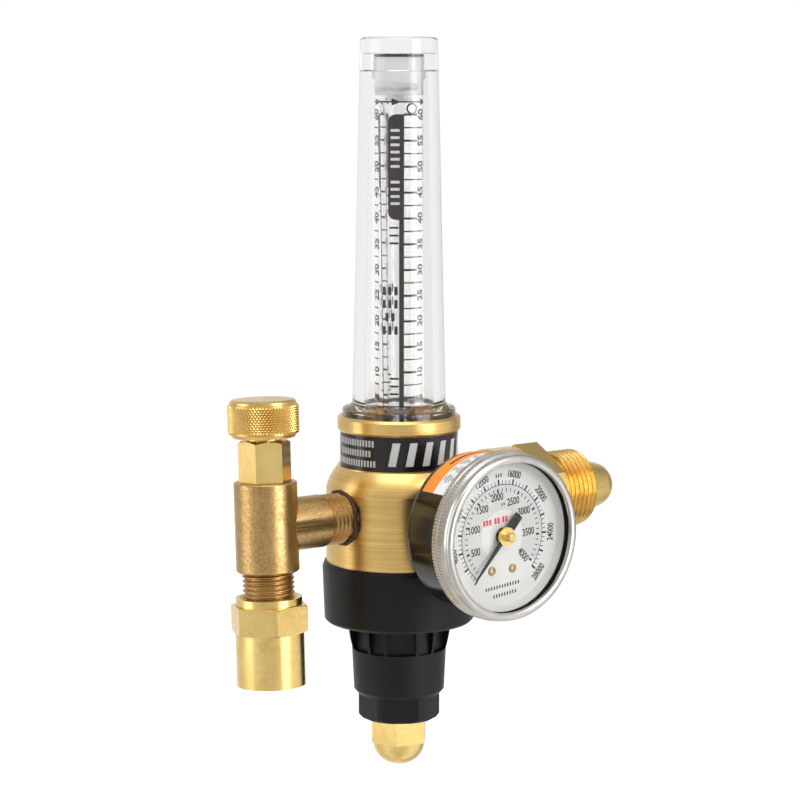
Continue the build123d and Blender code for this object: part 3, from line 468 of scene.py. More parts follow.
def lathe(
    node: str, profile: list[Point], place: Matrix, crease: float,
    steps: int = ROUND, finish: str | None = None,
) -> Piece:
    """Turns the piece that stands in for a node of the regulator's body, and puts it in its place.

    Args:
        node: The CAD node.
        profile: Radius and height of each profile point.
        place: Place of the piece's axis.
        crease: Angle in degrees above which an edge stays sharp.
        steps: Segments round the axis.
        finish: Its finish, where that isn't the slot's own.

    Returns:
        The mounted piece.
    """
    piece = Piece.turned(f"{node}_shape", profile, steps)
    return piece.smooth(crease).settle(place).stand_in(node, finish=finish)


def eased(points: list[Point], radii: dict[int, float], steps: int) -> list[Point]:
    """Rounds chosen corners of a closed profile.

    Args:
        points: Radius and height of each corner.
        radii: Rounding radius for a corner's number.
        steps: Segments of each round.

    Returns:
        The profile with arcs in place of those corners.
    """
    longest = 0.48
    result: list[Point] = []
    for number, corner in enumerate(points):
        radius = radii.get(number, 0)
        if not radius:
            result.append(corner)
            continue
        here = Vector(corner)
        before = Vector(points[number - 1]) - here
        after = Vector(points[(number + 1) % len(points)]) - here
        half = before.angle(after) / 2
        reach = min(radius / math.tan(half), before.length * longest, after.length * longest)
        start = here + before.normalized() * reach
        end = here + after.normalized() * reach
        for step in range(steps + 1):
            share = step / steps
            bend = start * (1 - share) ** 2 + here * 2 * share * (1 - share) + end * share**2
            result.append((bend.x, bend.y))
    return result


def arc_points(centre: Point, radius: float, start: float, end: float, steps: int) -> list[Point]:
    """Gives the points of an arc in a profile.

    Args:
        centre: Radius and height of the arc's centre.
        radius: Radius of the arc.
        start: First angle in degrees, from the radial direction.
        end: Last angle.
        steps: Number of segments.

    Returns:
        The points, both ends among them.
    """
    angles = [math.radians(start + (end - start) * step / steps) for step in range(steps + 1)]
    return [(centre[0] + radius * math.cos(angle), centre[1] + radius * math.sin(angle)) for angle in angles]


def circle_points(centre: Point, radius: float, count: int = 12) -> list[Point]:
    """Gives the corners of a round section."""
    return arc_points(centre, radius, 0, 360 - 360 / count, count - 1)


@dataclass(frozen=True)
class Thread:
    """A V-shaped screw thread about Z."""

    crest: float
    depth: float
    pitch: float
    low: float
    high: float
    steps: int = 72
    flat_share: float = 0.12

    def build(self, name: str) -> Piece:
        """Winds the thread's profile up the axis and trims both ends flat.

        Args:
            name: Name of the piece.

        Returns:
            The closed, threaded rod.
        """
        root = self.crest - self.depth
        flat = self.pitch * self.flat_share
        start = self.low - 2 * self.pitch
        middle = start + self.pitch / 2
        piece = Piece.chain(name, [
            (root, start), (root, start + flat), (self.crest, middle - flat / 2),
            (self.crest, middle + flat / 2), (root, start + self.pitch),
        ])
        turns = math.ceil((self.high - self.low) / self.pitch) + 4
        piece.modify(
            "SCREW", angle=math.tau, screw_offset=self.pitch * MM, iterations=turns,
            steps=self.steps, render_steps=self.steps, use_merge_vertices=True,
            merge_threshold=WELD / 2, use_smooth_shade=False,
        )
        with piece.editing():
            weld()
            for height, side in ((self.high, 1), (self.low, -1)):
                bpy.ops.mesh.select_all(action="SELECT")
                bpy.ops.mesh.bisect(
                    plane_co=(0, 0, height * MM), plane_no=(0, 0, side), use_fill=True,
                    clear_outer=True, threshold=CLOSE,
                )
            bpy.ops.mesh.select_all(action="SELECT")
            bpy.ops.mesh.normals_make_consistent(inside=False)
        return piece


class Nodes:
    """Adds and links shader nodes in one material, world or group."""

    def __init__(self, tree: bpy.types.NodeTree) -> None:
        """Takes the tree that the nodes go into."""
        self.tree = tree

    def fill(self, node: bpy.types.Node, values: dict) -> None:
        """Sets or links a node's inputs.

        Args:
            node: The node.
            values: Input name or number against a value, a colour or an output socket.
        """
        for key, value in values.items():
            socket = node.inputs[key]
            if isinstance(value, Socket):
                self.tree.links.new(value, socket)
            else:
                socket.default_value = (*value, 1) if socket.type == "RGBA" else value

    def add(self, kind: str, values: dict | None = None, **settings: object) -> bpy.types.Node:
        """Adds a node, sets its properties and fills its inputs.

        Args:
            kind: Node type.
            values: What its inputs get.
            **settings: Node properties.

        Returns:
            The node.
        """
        node = self.tree.nodes.new(kind)
        for key, value in settings.items():
            setattr(node, key, value)
        self.fill(node, values or {})
        return node

    def effect(self, tree: bpy.types.NodeTree, values: dict) -> bpy.types.NodeOutputs:
        """Places a shared effect and gives its outputs."""
        return self.add("ShaderNodeGroup", values, node_tree=tree).outputs

    def math(self, operation: str, *inputs: float | Socket, clamp: bool = False) -> Socket:
        """Adds a Math node and gives its output."""
        values = dict(enumerate(inputs))
        return self.add("ShaderNodeMath", values, operation=operation, use_clamp=clamp).outputs[0]

    def ramp(self, factor: Socket, stops: list[tuple[float, Colour]]) -> Socket:
        """Adds a colour ramp.

        Args:
            factor: What the ramp runs over.
            stops: Position and colour of each stop.

        Returns:
            The ramp's colour.
        """
        node = self.add("ShaderNodeValToRGB", {0: factor})
        ramp = node.color_ramp
        while len(ramp.elements) < len(stops):
            ramp.elements.new(0.5)
        for element, (position, colour) in zip(ramp.elements, stops):
            element.position = position
            element.color = (*colour, 1)
        return node.outputs[0]

    def blend(self, factor: Socket, first: Colour | Socket, second: Colour | Socket) -> Socket:
        """Adds a colour Mix node and gives its result."""
        return self.add("ShaderNodeMix", {0: factor, 6: first, 7: second}, data_type="RGBA").outputs[2]


class Effects:
    """Shader groups that several finishes share, each built once."""

    @staticmethod
    def start(name: str, inputs: dict[str, float], outputs: Names) -> tuple[Nodes, bpy.types.NodeOutputs]:
        """Makes an empty group with a Vector input.

        Args:
            name: Name of the group.
            inputs: Its other inputs with their defaults.
            outputs: Names of its outputs.

        Returns:
            Its node helper and the sockets that its inputs come from.
        """
        tree = bpy.data.node_groups.new(name, "ShaderNodeTree")
        tree.interface.new_socket("Vector", in_out="INPUT", socket_type="NodeSocketVector")
        for label, default in inputs.items():
            socket = tree.interface.new_socket(label, in_out="INPUT", socket_type="NodeSocketFloat")
            socket.default_value = default
        for label in outputs:
            tree.interface.new_socket(label, in_out="OUTPUT", socket_type="NodeSocketFloat")
        return Nodes(tree), tree.nodes.new("NodeGroupInput").outputs

    @staticmethod
    @cache
    def grain() -> bpy.types.NodeTree:
        """Fine noise over a stretched space: tool lines, brushing or plastic grain.

        Returns:
            The group.
        """
        nodes, given = Effects.start("grain", {"Scale": 800.0, "Contrast": 1.5}, ("Mask", "Height"))
        noise = nodes.add(
            "ShaderNodeTexNoise",
            {"Vector": given["Vector"], "Scale": given["Scale"], "Detail": 3.0, "Roughness": 0.6},
        ).outputs[0]
        centred = nodes.math("SUBTRACT", noise, 0.5)
        mask = nodes.math("MULTIPLY_ADD", centred, given["Contrast"], 0.5, clamp=True)
        nodes.add("NodeGroupOutput", {"Mask": mask, "Height": noise})
        return nodes.tree

    @staticmethod
    @cache
    def tarnish() -> bpy.types.NodeTree:
        """Soft uneven patches and small dark specks, as on handled metal.

        Returns:
            The group.
        """
        inputs = {"Patch Scale": 90.0, "Speck Share": 0.1}
        nodes, given = Effects.start("tarnish", inputs, ("Patches", "Specks"))
        patches = nodes.add(
            "ShaderNodeTexNoise",
            {"Vector": given["Vector"], "Scale": given["Patch Scale"], "Detail": 4.0, "Roughness": 0.6},
        ).outputs[0]
        cells = nodes.add("ShaderNodeTexVoronoi", {"Vector": given["Vector"], "Scale": 900.0}, feature="F1")
        specks = nodes.math("LESS_THAN", cells.outputs["Distance"], given["Speck Share"])
        nodes.add("NodeGroupOutput", {"Patches": patches, "Specks": specks})
        return nodes.tree


def open_material(name: str) -> tuple[bpy.types.Material, Nodes, bpy.types.Node]:
    """Starts a node material.

    Args:
        name: Name of the material.

    Returns:
        The material, its node helper and its Principled shader.
    """
    material = bpy.data.materials.new(name)
    material.use_nodes = True
    return material, Nodes(material.node_tree), material.node_tree.nodes["Principled BSDF"]


@dataclass(frozen=True, kw_only=True)
class Finish:
    """What all finishes share: a fine grain in the gloss and the surface. Each kind adds its colour."""

    roughness: Point
    grain_scale: float
    bump: float
    bump_depth: float = 0.0001
    contrast: float = 1.5

    def build(self, name: str) -> bpy.types.Material:
        """Makes the material.

        Args:
            name: Name of the finish.

        Returns:
            The material, with object coordinates and procedural nodes.
        """
        material, nodes, shader = open_material(name)
        where = nodes.add("ShaderNodeTexCoord").outputs["Object"]
        space = self.space(nodes, where)
        grain = nodes.effect(
            Effects.grain(), {"Vector": space, "Scale": self.grain_scale, "Contrast": self.contrast}
        )
        low, high = self.roughness
        rough = nodes.math("MULTIPLY_ADD", grain["Mask"], high - low, low)
        bump = nodes.add(
            "ShaderNodeBump", {"Strength": self.bump, "Distance": self.bump_depth, "Height": grain["Height"]}
        )
        nodes.fill(shader, {"Roughness": rough, "Normal": bump.outputs[0]})
        nodes.fill(shader, self.colour(nodes, where, grain["Mask"]))
        return material

    def space(self, nodes: Nodes, where: Socket) -> Socket:
        """Gives the space that the grain lies in."""
        return where

    def colour(self, nodes: Nodes, where: Socket, mask: Socket) -> dict[str, object]:
        """Gives the shader's other inputs, which each kind of finish has to name."""
        raise NotImplementedError


@dataclass(frozen=True)
class Metal(Finish):
    """A bare metal with tool lines, patches and specks."""

    light: Colour
    dark: Colour
    _: KW_ONLY
    roughness: Point = (0.2, 0.35)
    grain_scale: float = 900
    bump: float = 0.1
    bump_depth: float = 0.0002
    stretch: Colour = (1, 1, 1)
    centre: Colour = (0, 0, 0)
    specks: float = 0.0
    patch_scale: float = 90
    line_tint: float = 0.35

    def space(self, nodes: Nodes, where: Socket) -> Socket:
        """Gives the centred and stretched space that the tool lines lie in."""
        values = {"Vector": where, "Location": self.centre, "Scale": self.stretch}
        return nodes.add("ShaderNodeMapping", values).outputs[0]

    def colour(self, nodes: Nodes, where: Socket, mask: Socket) -> dict[str, object]:
        """Mixes both tones by tool lines and patches, and adds the specks.

        Args:
            nodes: The material's node helper.
            where: Object coordinates.
            mask: The grain's mask.

        Returns:
            The shader's inputs.
        """
        tarnish = nodes.effect(
            Effects.tarnish(), {"Vector": where, "Patch Scale": self.patch_scale, "Speck Share": self.specks}
        )
        patches = nodes.math("MULTIPLY", tarnish["Patches"], 1 - self.line_tint)
        tint = nodes.math("MULTIPLY_ADD", mask, self.line_tint, patches, clamp=True)
        tone = nodes.ramp(tint, [(0.25, self.light), (0.75, self.dark)])
        specks = nodes.math("MULTIPLY", tarnish["Specks"], SPECK_STRENGTH)
        return {"Base Color": nodes.blend(specks, tone, SPECK_COLOUR), "Metallic": 1.0}


@dataclass(frozen=True)
class Coating(Finish):
    """A plastic, rubber or paint."""

    light: Colour
    dark: Colour
    _: KW_ONLY
    roughness: Point = (0.35, 0.5)
    grain_scale: float = 1500
    bump: float = 0.15
    coat: float = 0.0
    specular: float = 0.5
    patch_scale: float = 60

    def colour(self, nodes: Nodes, where: Socket, mask: Socket) -> dict[str, object]:
        """Mixes both tones by soft patches.

        Args:
            nodes: The material's node helper.
            where: Object coordinates.
            mask: The grain's mask, which is not used here.

        Returns:
            The shader's inputs.
        """
        tarnish = nodes.effect(Effects.tarnish(), {"Vector": where, "Patch Scale": self.patch_scale})
        tone = nodes.ramp(tarnish["Patches"], [(0.3, self.light), (0.7, self.dark)])
        return {"Base Color": tone, "Coat Weight": self.coat, "Specular IOR Level": self.specular}


@dataclass(frozen=True)
class Film(Coating):
    """An ink or a thin film, almost without bumps."""

    _: KW_ONLY
    grain_scale: float = 900
    bump: float = 0.05


@dataclass(frozen=True)
class Clear(Finish):
    """A clear moulded plastic with faint flow marks."""

    tint: Colour
    ior: float = 1.49
    _: KW_ONLY
    roughness: Point = (0.0, 0.03)
    grain_scale: float = 120
    bump: float = 0.02

    def colour(self, nodes: Nodes, where: Socket, mask: Socket) -> dict[str, object]:
        """Gives the plain tint and lets the light through."""
        return {"Base Color": self.tint, "Transmission Weight": 1.0, "IOR": self.ior}


MAIN_CENTRE = (LAYOUT.inlet_reach * MM, 0, 0)
POLISH = {"grain_scale": 700, "contrast": 1.2, "bump": 0.06, "specks": 0.05, "patch_scale": 110}
FLAT_INK = {"roughness": (0.6, 0.7), "specular": 0.1}
PLATE = {"roughness": (0.45, 0.55)}
FINISHES: dict[str, Finish] = {
    "body_brass": Metal(
        srgb(240, 207, 134), srgb(206, 166, 96), roughness=(0.24, 0.38), stretch=(30, 30, 2400),
        centre=MAIN_CENTRE, grain_scale=1.0, contrast=1.6, bump=0.08, patch_scale=40, line_tint=0.5,
    ),
    "polished_brass": Metal(srgb(244, 215, 142), srgb(214, 178, 104), roughness=(0.16, 0.3), **POLISH),
    # A darker copy of polished brass: its darker tones are painted shade for the grooves of the knurl and the
    # inlet thread.
    "knurled_brass": Metal(srgb(234, 198, 122), srgb(194, 152, 84), roughness=(0.18, 0.32), **POLISH),
    "cast_brass": Metal(
        srgb(202, 169, 114), srgb(160, 125, 77), roughness=(0.26, 0.42),
        grain_scale=1400, contrast=2.2, bump=0.3, specks=0.09, patch_scale=150, line_tint=0.5,
    ),
    "sintered_bronze": Metal(
        srgb(190, 140, 90), srgb(120, 80, 50), roughness=(0.5, 0.7), grain_scale=2500, bump=0.8
    ),
    "steel_bright": Metal(srgb(205, 205, 208), srgb(160, 160, 164), bump=0.08),
    "bezel_steel": Metal(
        srgb(204, 200, 194), srgb(174, 170, 164), roughness=(0.2, 0.3), grain_scale=300, bump=0.02
    ),
    "black_enamel": Coating(
        srgb(26, 22, 20), srgb(16, 14, 13), roughness=(0.12, 0.2), grain_scale=700, bump=0.05, coat=0.1
    ),
    "black_plastic": Coating(
        srgb(18, 16, 16), srgb(12, 10, 10), roughness=(0.36, 0.5), grain_scale=2200, bump=0.35, specular=0.25
    ),
    "rubber_black": Coating(
        srgb(18, 17, 17), srgb(12, 12, 12), roughness=(0.5, 0.7), grain_scale=1800, bump=0.3, specular=0.2
    ),
    "white_plastic": Coating(srgb(236, 234, 228), srgb(222, 219, 212), roughness=(0.3, 0.45)),
    "sealant": Coating(
        srgb(70, 42, 34), srgb(38, 24, 22), roughness=(0.45, 0.7), grain_scale=1200, bump=0.9
    ),
    "label_film": Film(srgb(22, 20, 20), srgb(16, 15, 15), roughness=(0.22, 0.32)),
    "orange_film": Film(srgb(255, 150, 38), srgb(248, 134, 26), roughness=(0.3, 0.4)),
    "white_film": Film(srgb(240, 240, 238), srgb(230, 230, 228), roughness=(0.3, 0.4)),
    "pale_ink": Film(srgb(206, 204, 202), srgb(188, 186, 184), roughness=(0.4, 0.5)),
    "ink": Film(srgb(40, 20, 16), srgb(28, 15, 13), **FLAT_INK),
    "dial_ink": Film(srgb(44, 46, 48), srgb(32, 34, 36), **FLAT_INK),
    "red_ink": Film(srgb(206, 80, 92), srgb(190, 64, 78), **FLAT_INK),
    "dial_zone": Film(srgb(188, 188, 185), srgb(181, 181, 178), **PLATE),
    "dial_face": Film(srgb(205, 205, 202), srgb(198, 198, 195), **PLATE),
    "clear_plastic": Clear((0.995, 0.995, 0.99)),
    "cover_clear": Clear((0.885, 0.883, 0.875)),
    "window_clear": Clear((0.985, 0.988, 0.985), 1.12),
    "frosted_plastic": Clear((0.95, 0.95, 0.95), 1.46, roughness=(0.35, 0.5), grain_scale=300, bump=0.05),
}


@cache
def material_of(finish: str) -> bpy.types.Material:
    """Builds a finish's material when it is first asked for."""
    return FINISHES[finish].build(finish)


def paint(thing: Object, finish: str) -> None:
    """Gives an object one finish all over."""
    thing.data.materials.clear()
    thing.data.materials.append(material_of(finish))


@dataclass(frozen=True)
class Dressed:
    """A CAD node shown as a welded copy with eased edges."""

    node: str
    body: Body = Body.REGULATOR
    ease: float = 0.0
    angle: float = 30
    segments: int = 2

    def build(self) -> None:
        """Copies, eases, shades and mounts the node."""
        piece = Piece.of_node(self.node)
        if self.ease:
            piece.ease(self.ease, self.angle, self.segments)
        piece.smooth(self.angle).stand_in(self.node, self.body)


class Sheet:
    """A flat print of bars, blocks, arcs and numbers, laid out in XY."""

    def __init__(self, name: str) -> None:
        """Starts an empty print."""
        self.name = name
        self.marks: list[Object] = []

    def keep(self, x: float, y: float, turn: float) -> None:
        """Puts the newest mark at its place and keeps it."""
        bpy.context.object.matrix_world = shift(x, y, 0) @ spun(turn)
        self.marks.append(bpy.context.object)

    def bar(self, x: float, y: float, width: float, height: float, turn: float = 0, lean: float = 0) -> None:
        """Adds a bar about its centre.

        Args:
            x: Centre to the right.
            y: Centre upwards.
            width: Width before turning.
            height: Height before turning.
            turn: Turn in degrees, anticlockwise.
            lean: How far the top stands to the right of the middle.
        """
        clear()
        bpy.ops.mesh.primitive_plane_add(size=MM)
        mark = Piece(bpy.context.object, self.name)
        with mark.editing():
            bpy.ops.transform.resize(value=(width, height, 1), center_override=(0, 0, 0))
        if lean:
            with mark.selecting(Kind.VERT, lambda vertex: vertex.co.y > 0):
                bpy.ops.transform.translate(value=(lean * MM, 0, 0))
        self.keep(x, y, turn)

    def arrow(self, x: float, y: float, spread: float, length: float) -> None:
        """Adds a filled arrowhead that points right.

        Args:
            x: Centre to the right.
            y: Centre upwards.
            spread: How far its triangle is stretched across, from a radius of 1 mm.
            length: How far it is stretched along, which is where its tip lies.
        """
        clear()
        bpy.ops.mesh.primitive_circle_add(vertices=3, radius=MM, fill_type="NGON")
        with Piece(bpy.context.object, self.name).editing():
            bpy.ops.transform.resize(value=(spread, length, 1), center_override=(0, 0, 0))
        self.keep(x, y, -90)

    def blocks(self, x: float, y: float, count: int, size: Point, pitch: float, turn: float = 0) -> None:
        """Adds a row of small upright blocks.

        Args:
            x: Centre of the row to the right.
            y: Centre of the row upwards.
            count: Number of blocks.
            size: Width and height of one block.
            pitch: Distance from block to block.
            turn: Turn of the row in degrees, anticlockwise.
        """
        for number in range(count):
            step = around(turn, (number - (count - 1) / 2) * pitch)
            self.bar(x + step.x, y + step.y, *size, turn)

    def number(
        self, value: str, x: float, y: float, height: float, turn: float, narrow: float, bold: float = 0.018
    ) -> None:
        """Adds a plain number about its centre.

        Args:
            value: The digits.
            x: Centre to the right.
            y: Centre upwards.
            height: Height of the digits.
            turn: Turn in degrees, anticlockwise.
            narrow: Width of the digits against the plain font.
            bold: How much thicker the strokes are, as a share of the font's size.
        """
        clear()
        bpy.ops.object.text_add()
        text = bpy.context.object.data
        text.body = value
        text.offset = bold
        text.resolution_u = 3
        bpy.ops.object.convert(target="MESH")
        mark = bpy.context.object
        corners = [Vector(corner) for corner in mark.bound_box]
        low = Vector(map(min, zip(*corners)))
        high = Vector(map(max, zip(*corners)))
        scale = height * MM / (high.y - low.y)
        size = Matrix.Diagonal((scale * narrow, scale, scale, 1))
        mark.data.transform(size @ Matrix.Translation(-(low + high) / 2))
        self.keep(x, y, turn)

    def arc(
        self, radius: float, width: float, start: float, end: float, step: float = 3, centre: Point = (0, 0)
    ) -> None:
        """Adds a curved band, from one angle to another in degrees.

        Args:
            radius: Middle radius of the band.
            width: Width of the band.
            start: First angle, anticlockwise from X.
            end: Last angle.
            step: Degrees of one segment.
            centre: Centre of the arc.
        """
        band = Piece.chain(self.name, [(radius - width / 2, 0), (radius + width / 2, 0)])
        steps = max(3, round(abs(end - start) / step))
        with band.editing():
            bpy.ops.mesh.spin(
                steps=steps, angle=math.radians(start - end), center=(0, 0, 0), axis=(0, 0, 1)
            )
            weld()
        self.keep(*centre, start)

    def finish(self) -> Piece:
        """Joins the marks into one flat piece whose faces look up.

        Returns:
            The piece.
        """
        piece = Piece.joined(self.marks, self.name).settle()
        with piece.selecting(Kind.FACE, lambda face: face.normal.z < 0):
            bpy.ops.mesh.flip_normals()
        return piece

    def wrapped(self, radius: float, facing: float, step: float = 0.5, thickness: float = 0.03) -> Piece:
        """Joins the marks and lays them round a cylinder about Z.

        Args:
            radius: Radius of the surface.
            facing: Angle that the print's origin faces, anticlockwise from X, in degrees.
            step: Widest stretch of the print that stays flat.
            thickness: Thickness of the print.

        Returns:
            The thin, curved print about the Z axis.
        """
        piece = self.finish()
        reach = max(abs(vertex.co.x) for vertex in piece.mesh.vertices) / MM
        cuts = math.ceil(reach / step)
        with piece.editing():
            for number in range(-cuts, cuts + 1):
                bpy.ops.mesh.select_all(action="SELECT")
                bpy.ops.mesh.bisect(plane_co=(number * step * MM, 0, 0), plane_no=(1, 0, 0), threshold=CLOSE)
        for vertex in piece.mesh.vertices:
            angle = math.radians(facing) + vertex.co.x / (radius * MM)
            vertex.co = (radius * MM * math.cos(angle), radius * MM * math.sin(angle), vertex.co.y)
        piece.mesh.update()
        return piece.thicken(thickness)


@dataclass
class FlowTube:
    """The clear cover, the tapered tube in it, the ring over its plug and its printed scales."""

    shelf: float = 26.5
    flange_r: float = 17.0
    flange_top: float = 31.4
    slope_r: float = 14.0
    slope_top: float = 32.9
    top_r: float = 11.5
    top: float = 141.4
    edge: float = 1.4
    bore_low_r: float = 10.7
    bore_top_r: float = 8.6
    bore_roof: float = 131.6
    nest_r: float = 7.6
    nest_roof: float = 136.7
    tube_r: float = 7.2
    tube_low: float = 16.8
    tube_top: float = 124.55
    tube_bore_low: float = 3.4
    tube_bore_top: float = 4.3
    stop_top: float = 23.0
    ring_section: float = 0.58
    ring_gap: float = 0.15
    ring_drop: float = 0.02
    crease: float = 32
    first_tick: float = 35.2
    tick_step: float = 7.6
    ticks: int = 12
    tick_value: int = 5
    line_x: float = 0.72
    line_width: float = 1.35
    line_foot: float = 1.5
    tick_start: float = 1.3
    thick_end: float = 5.5
    thick: float = 0.66
    thin_end: float = 8.2
    thin: float = 0.4
    number_x: float = 7.05
    digits: float = 2.9
    digits_narrow: float = 0.9
    digits_bold: float = 0.035
    band_left: float = -3.05
    band_low: float = 88.0
    band_top: float = 118.9
    band_corner: float = 2.2
    back_turn: float = -118.0
    back_band_low: float = 97.0
    mark_z: float = 122.5
    mark_x: float = -1.0
    mark_size: Point = (20.5, 0.42)
    arrows_x: Point = (-1.2, 7.6)
    arrow_size: Point = (1.3, 1.7)
    circle_x: float = 3.7
    circle_drop: float = 1.95
    circle_r: float = 1.45
    circle_width: float = 0.5
    short_x: float = -1.4
    short_z: float = 38.6
    short_drop: float = 4.6
    short_block: Point = (0.6, 2.6)
    short_pitch: float = 2.3
    rows: tuple[int, ...] = (3, 3, 2, 3)
    rows_x: float = -2.6
    rows_z: float = 67.0
    rows_step: float = 3.9
    row_block: Point = (0.95, 2.5)
    row_pitch: float = 1.75
    light_rows: tuple[tuple[float, int], ...] = ((5.5, 6), (-7.5, 4))
    light_aside: float = 0.2
    light_block: Point = (0.8, 2.5)
    light_pitch: float = 2.1
    ink_lift: float = 0.02
    light_lift: float = 0.06

    def cover(self) -> None:
        """Turns the clear cover with its stepped bore."""
        profile = [
            (self.bore_low_r, self.shelf), (self.flange_r, self.shelf), (self.flange_r, self.flange_top),
            (self.slope_r, self.slope_top), (self.top_r, self.top), (0, self.top), (0, self.nest_roof),
            (self.nest_r, self.nest_roof), (self.nest_r, self.bore_roof), (self.bore_top_r, self.bore_roof),
        ]
        rounded = eased(profile, {2: 0.9, 3: 1.2, 4: self.edge, 7: 0.5, 8: 0.25, 9: 0.4}, 5)
        lathe("tube_cover", rounded, LAYOUT.main(), self.crease, finish="cover_clear")

    def tube(self) -> None:
        """Turns the tapered flow tube."""
        profile = [
            (self.tube_bore_low, self.tube_low), (self.tube_r, self.tube_low), (self.tube_r, self.tube_top),
            (self.tube_bore_top, self.tube_top), (self.tube_bore_low, self.stop_top),
        ]
        lathe("flow_tube", eased(profile, {2: 0.3, 3: 0.2}, 2), LAYOUT.main(), self.crease)

    def o_ring(self) -> None:
        """Turns the round rubber ring over the plug."""
        radius = self.ring_section
        centre = (self.nest_r - radius - self.ring_gap, self.nest_roof - radius - self.ring_drop)
        lathe("top_o_ring", circle_points(centre, radius), LAYOUT.main(), 60, 96)

    def dark_band(self, sheet: Sheet, low: float) -> None:
        """Adds the dark band at the left of the line, with two round corners.

        Args:
            sheet: The print.
            low: Lower end of the band.
        """
        corner = self.band_corner
        right = self.line_x + self.line_width / 2
        middle = (low + self.band_top) / 2
        tall = self.band_top - low
        sheet.bar((self.band_left + corner + right) / 2, middle, right - self.band_left - corner, tall)
        sheet.bar(self.band_left + corner / 2, middle, corner, tall - 2 * corner)
        for height, start in ((self.band_top - corner, 90), (low + corner, 180)):
            sheet.arc(corner / 2, corner, start, start + 90, 15, (self.band_left + corner, height))

    def scale(self, name: str, band_low: float) -> Sheet:
        """Lays out the dark print of one scale, unrolled, with its line at the right of the front.

        Args:
            name: Name of the print.
            band_low: Lower end of the dark band.

        Returns:
            The print, still flat.
        """
        sheet = Sheet(name)
        low = self.shelf + self.line_foot
        sheet.bar(self.line_x, (low + self.band_top) / 2, self.line_width, self.band_top - low)
        for number in range(self.ticks):
            height = self.first_tick + number * self.tick_step
            value = str(self.tick_value * (number + 1))
            sheet.number(value, self.number_x, height, self.digits, 90, self.digits_narrow, self.digits_bold)
            for end, at, width in (
                (self.thick_end, height, self.thick), (self.thin_end, height - self.tick_step / 2, self.thin)
            ):
                sheet.bar((self.tick_start + end) / 2, at, end - self.tick_start, width)
        self.dark_band(sheet, band_low)
        sheet.bar(self.mark_x, self.mark_z, *self.mark_size)
        for x in self.arrows_x:
            sheet.arrow(x, self.mark_z, *self.arrow_size)
        circle = (self.circle_x, self.mark_z - self.circle_drop)
        sheet.arc(self.circle_r, self.circle_width, 0, 360, 15, circle)
        for height in (band_low - self.short_drop, self.short_z):
            sheet.blocks(self.short_x, height, 3, self.short_block, self.short_pitch, 90)
        for row, count in enumerate(self.rows):
            height = self.rows_z - self.rows_step * row
            sheet.blocks(self.rows_x, height, count, self.row_block, self.row_pitch)
        return sheet

    def prints(self) -> None:
        """Prints both scales and the light blocks in their dark bands."""
        centre = (self.band_left + self.tick_start) / 2 - self.light_aside
        scales = (("front", 0.0, self.band_low), ("back", self.back_turn, self.back_band_low))
        for name, turn, band_low in scales:
            place = LAYOUT.main() @ spun(turn)
            dark = self.scale(f"tube_scale_{name}", band_low)
            dark = dark.wrapped(self.tube_r + self.ink_lift, LAYOUT.photo_side)
            dark.settle(place).mount(Body.REGULATOR, "label_film", "ink")
            words = Sheet(f"tube_words_{name}")
            for rise, count in self.light_rows:
                height = (self.band_top + band_low) / 2 + rise
                words.blocks(centre, height, count, self.light_block, self.light_pitch, 90)
            light = words.wrapped(self.tube_r + self.light_lift, LAYOUT.photo_side, thickness=0.02)
            light.settle(place).mount(Body.REGULATOR, "sticker_film", "white_film")

    def build(self) -> None:
        """Builds the clear parts and the prints."""
        self.cover()
        self.tube()
        self.o_ring()
        self.prints()


@dataclass
class LabelBand:
    """The black band round the collar with its pale print."""

    inner_r: float = 17.45
    outer_r: float = 17.7
    low: float = 14.35
    high: float = 24.55
    corner: float = 0.08
    rows: tuple[int, ...] = (15, 13, 16)
    rows_x: float = -15.6
    rows_step: float = 3.0
    row_block: Point = (0.66, 1.9)
    row_pitch: float = 1.08
    bars: int = 7
    bars_x: float = -2.1
    bars_step: float = 5.2
    bar_size: Point = (2.3, 7.0)
    bar_lean: float = 1.4
    print_lift: float = 0.015

    def build(self) -> None:
        """Turns the band and lays the generic print on it."""
        profile = [
            (self.inner_r, self.low), (self.outer_r, self.low),
            (self.outer_r, self.high), (self.inner_r, self.high),
        ]
        lathe("label_band", eased(profile, {1: self.corner, 2: self.corner}, 2), LAYOUT.main(), 40)
        middle = (self.low + self.high) / 2
        small = Sheet("label_small_print")
        for row, count in enumerate(self.rows):
            height = middle + self.rows_step * (1 - row)
            small.blocks(self.rows_x, height, count, self.row_block, self.row_pitch)
        for number in range(self.bars):
            small.bar(self.bars_x + self.bars_step * number, middle, *self.bar_size, lean=self.bar_lean)
        text = small.wrapped(self.outer_r + self.print_lift, LAYOUT.photo_side, 1.0)
        text.settle(LAYOUT.main()).mount(Body.REGULATOR, "sticker_film", "pale_ink")


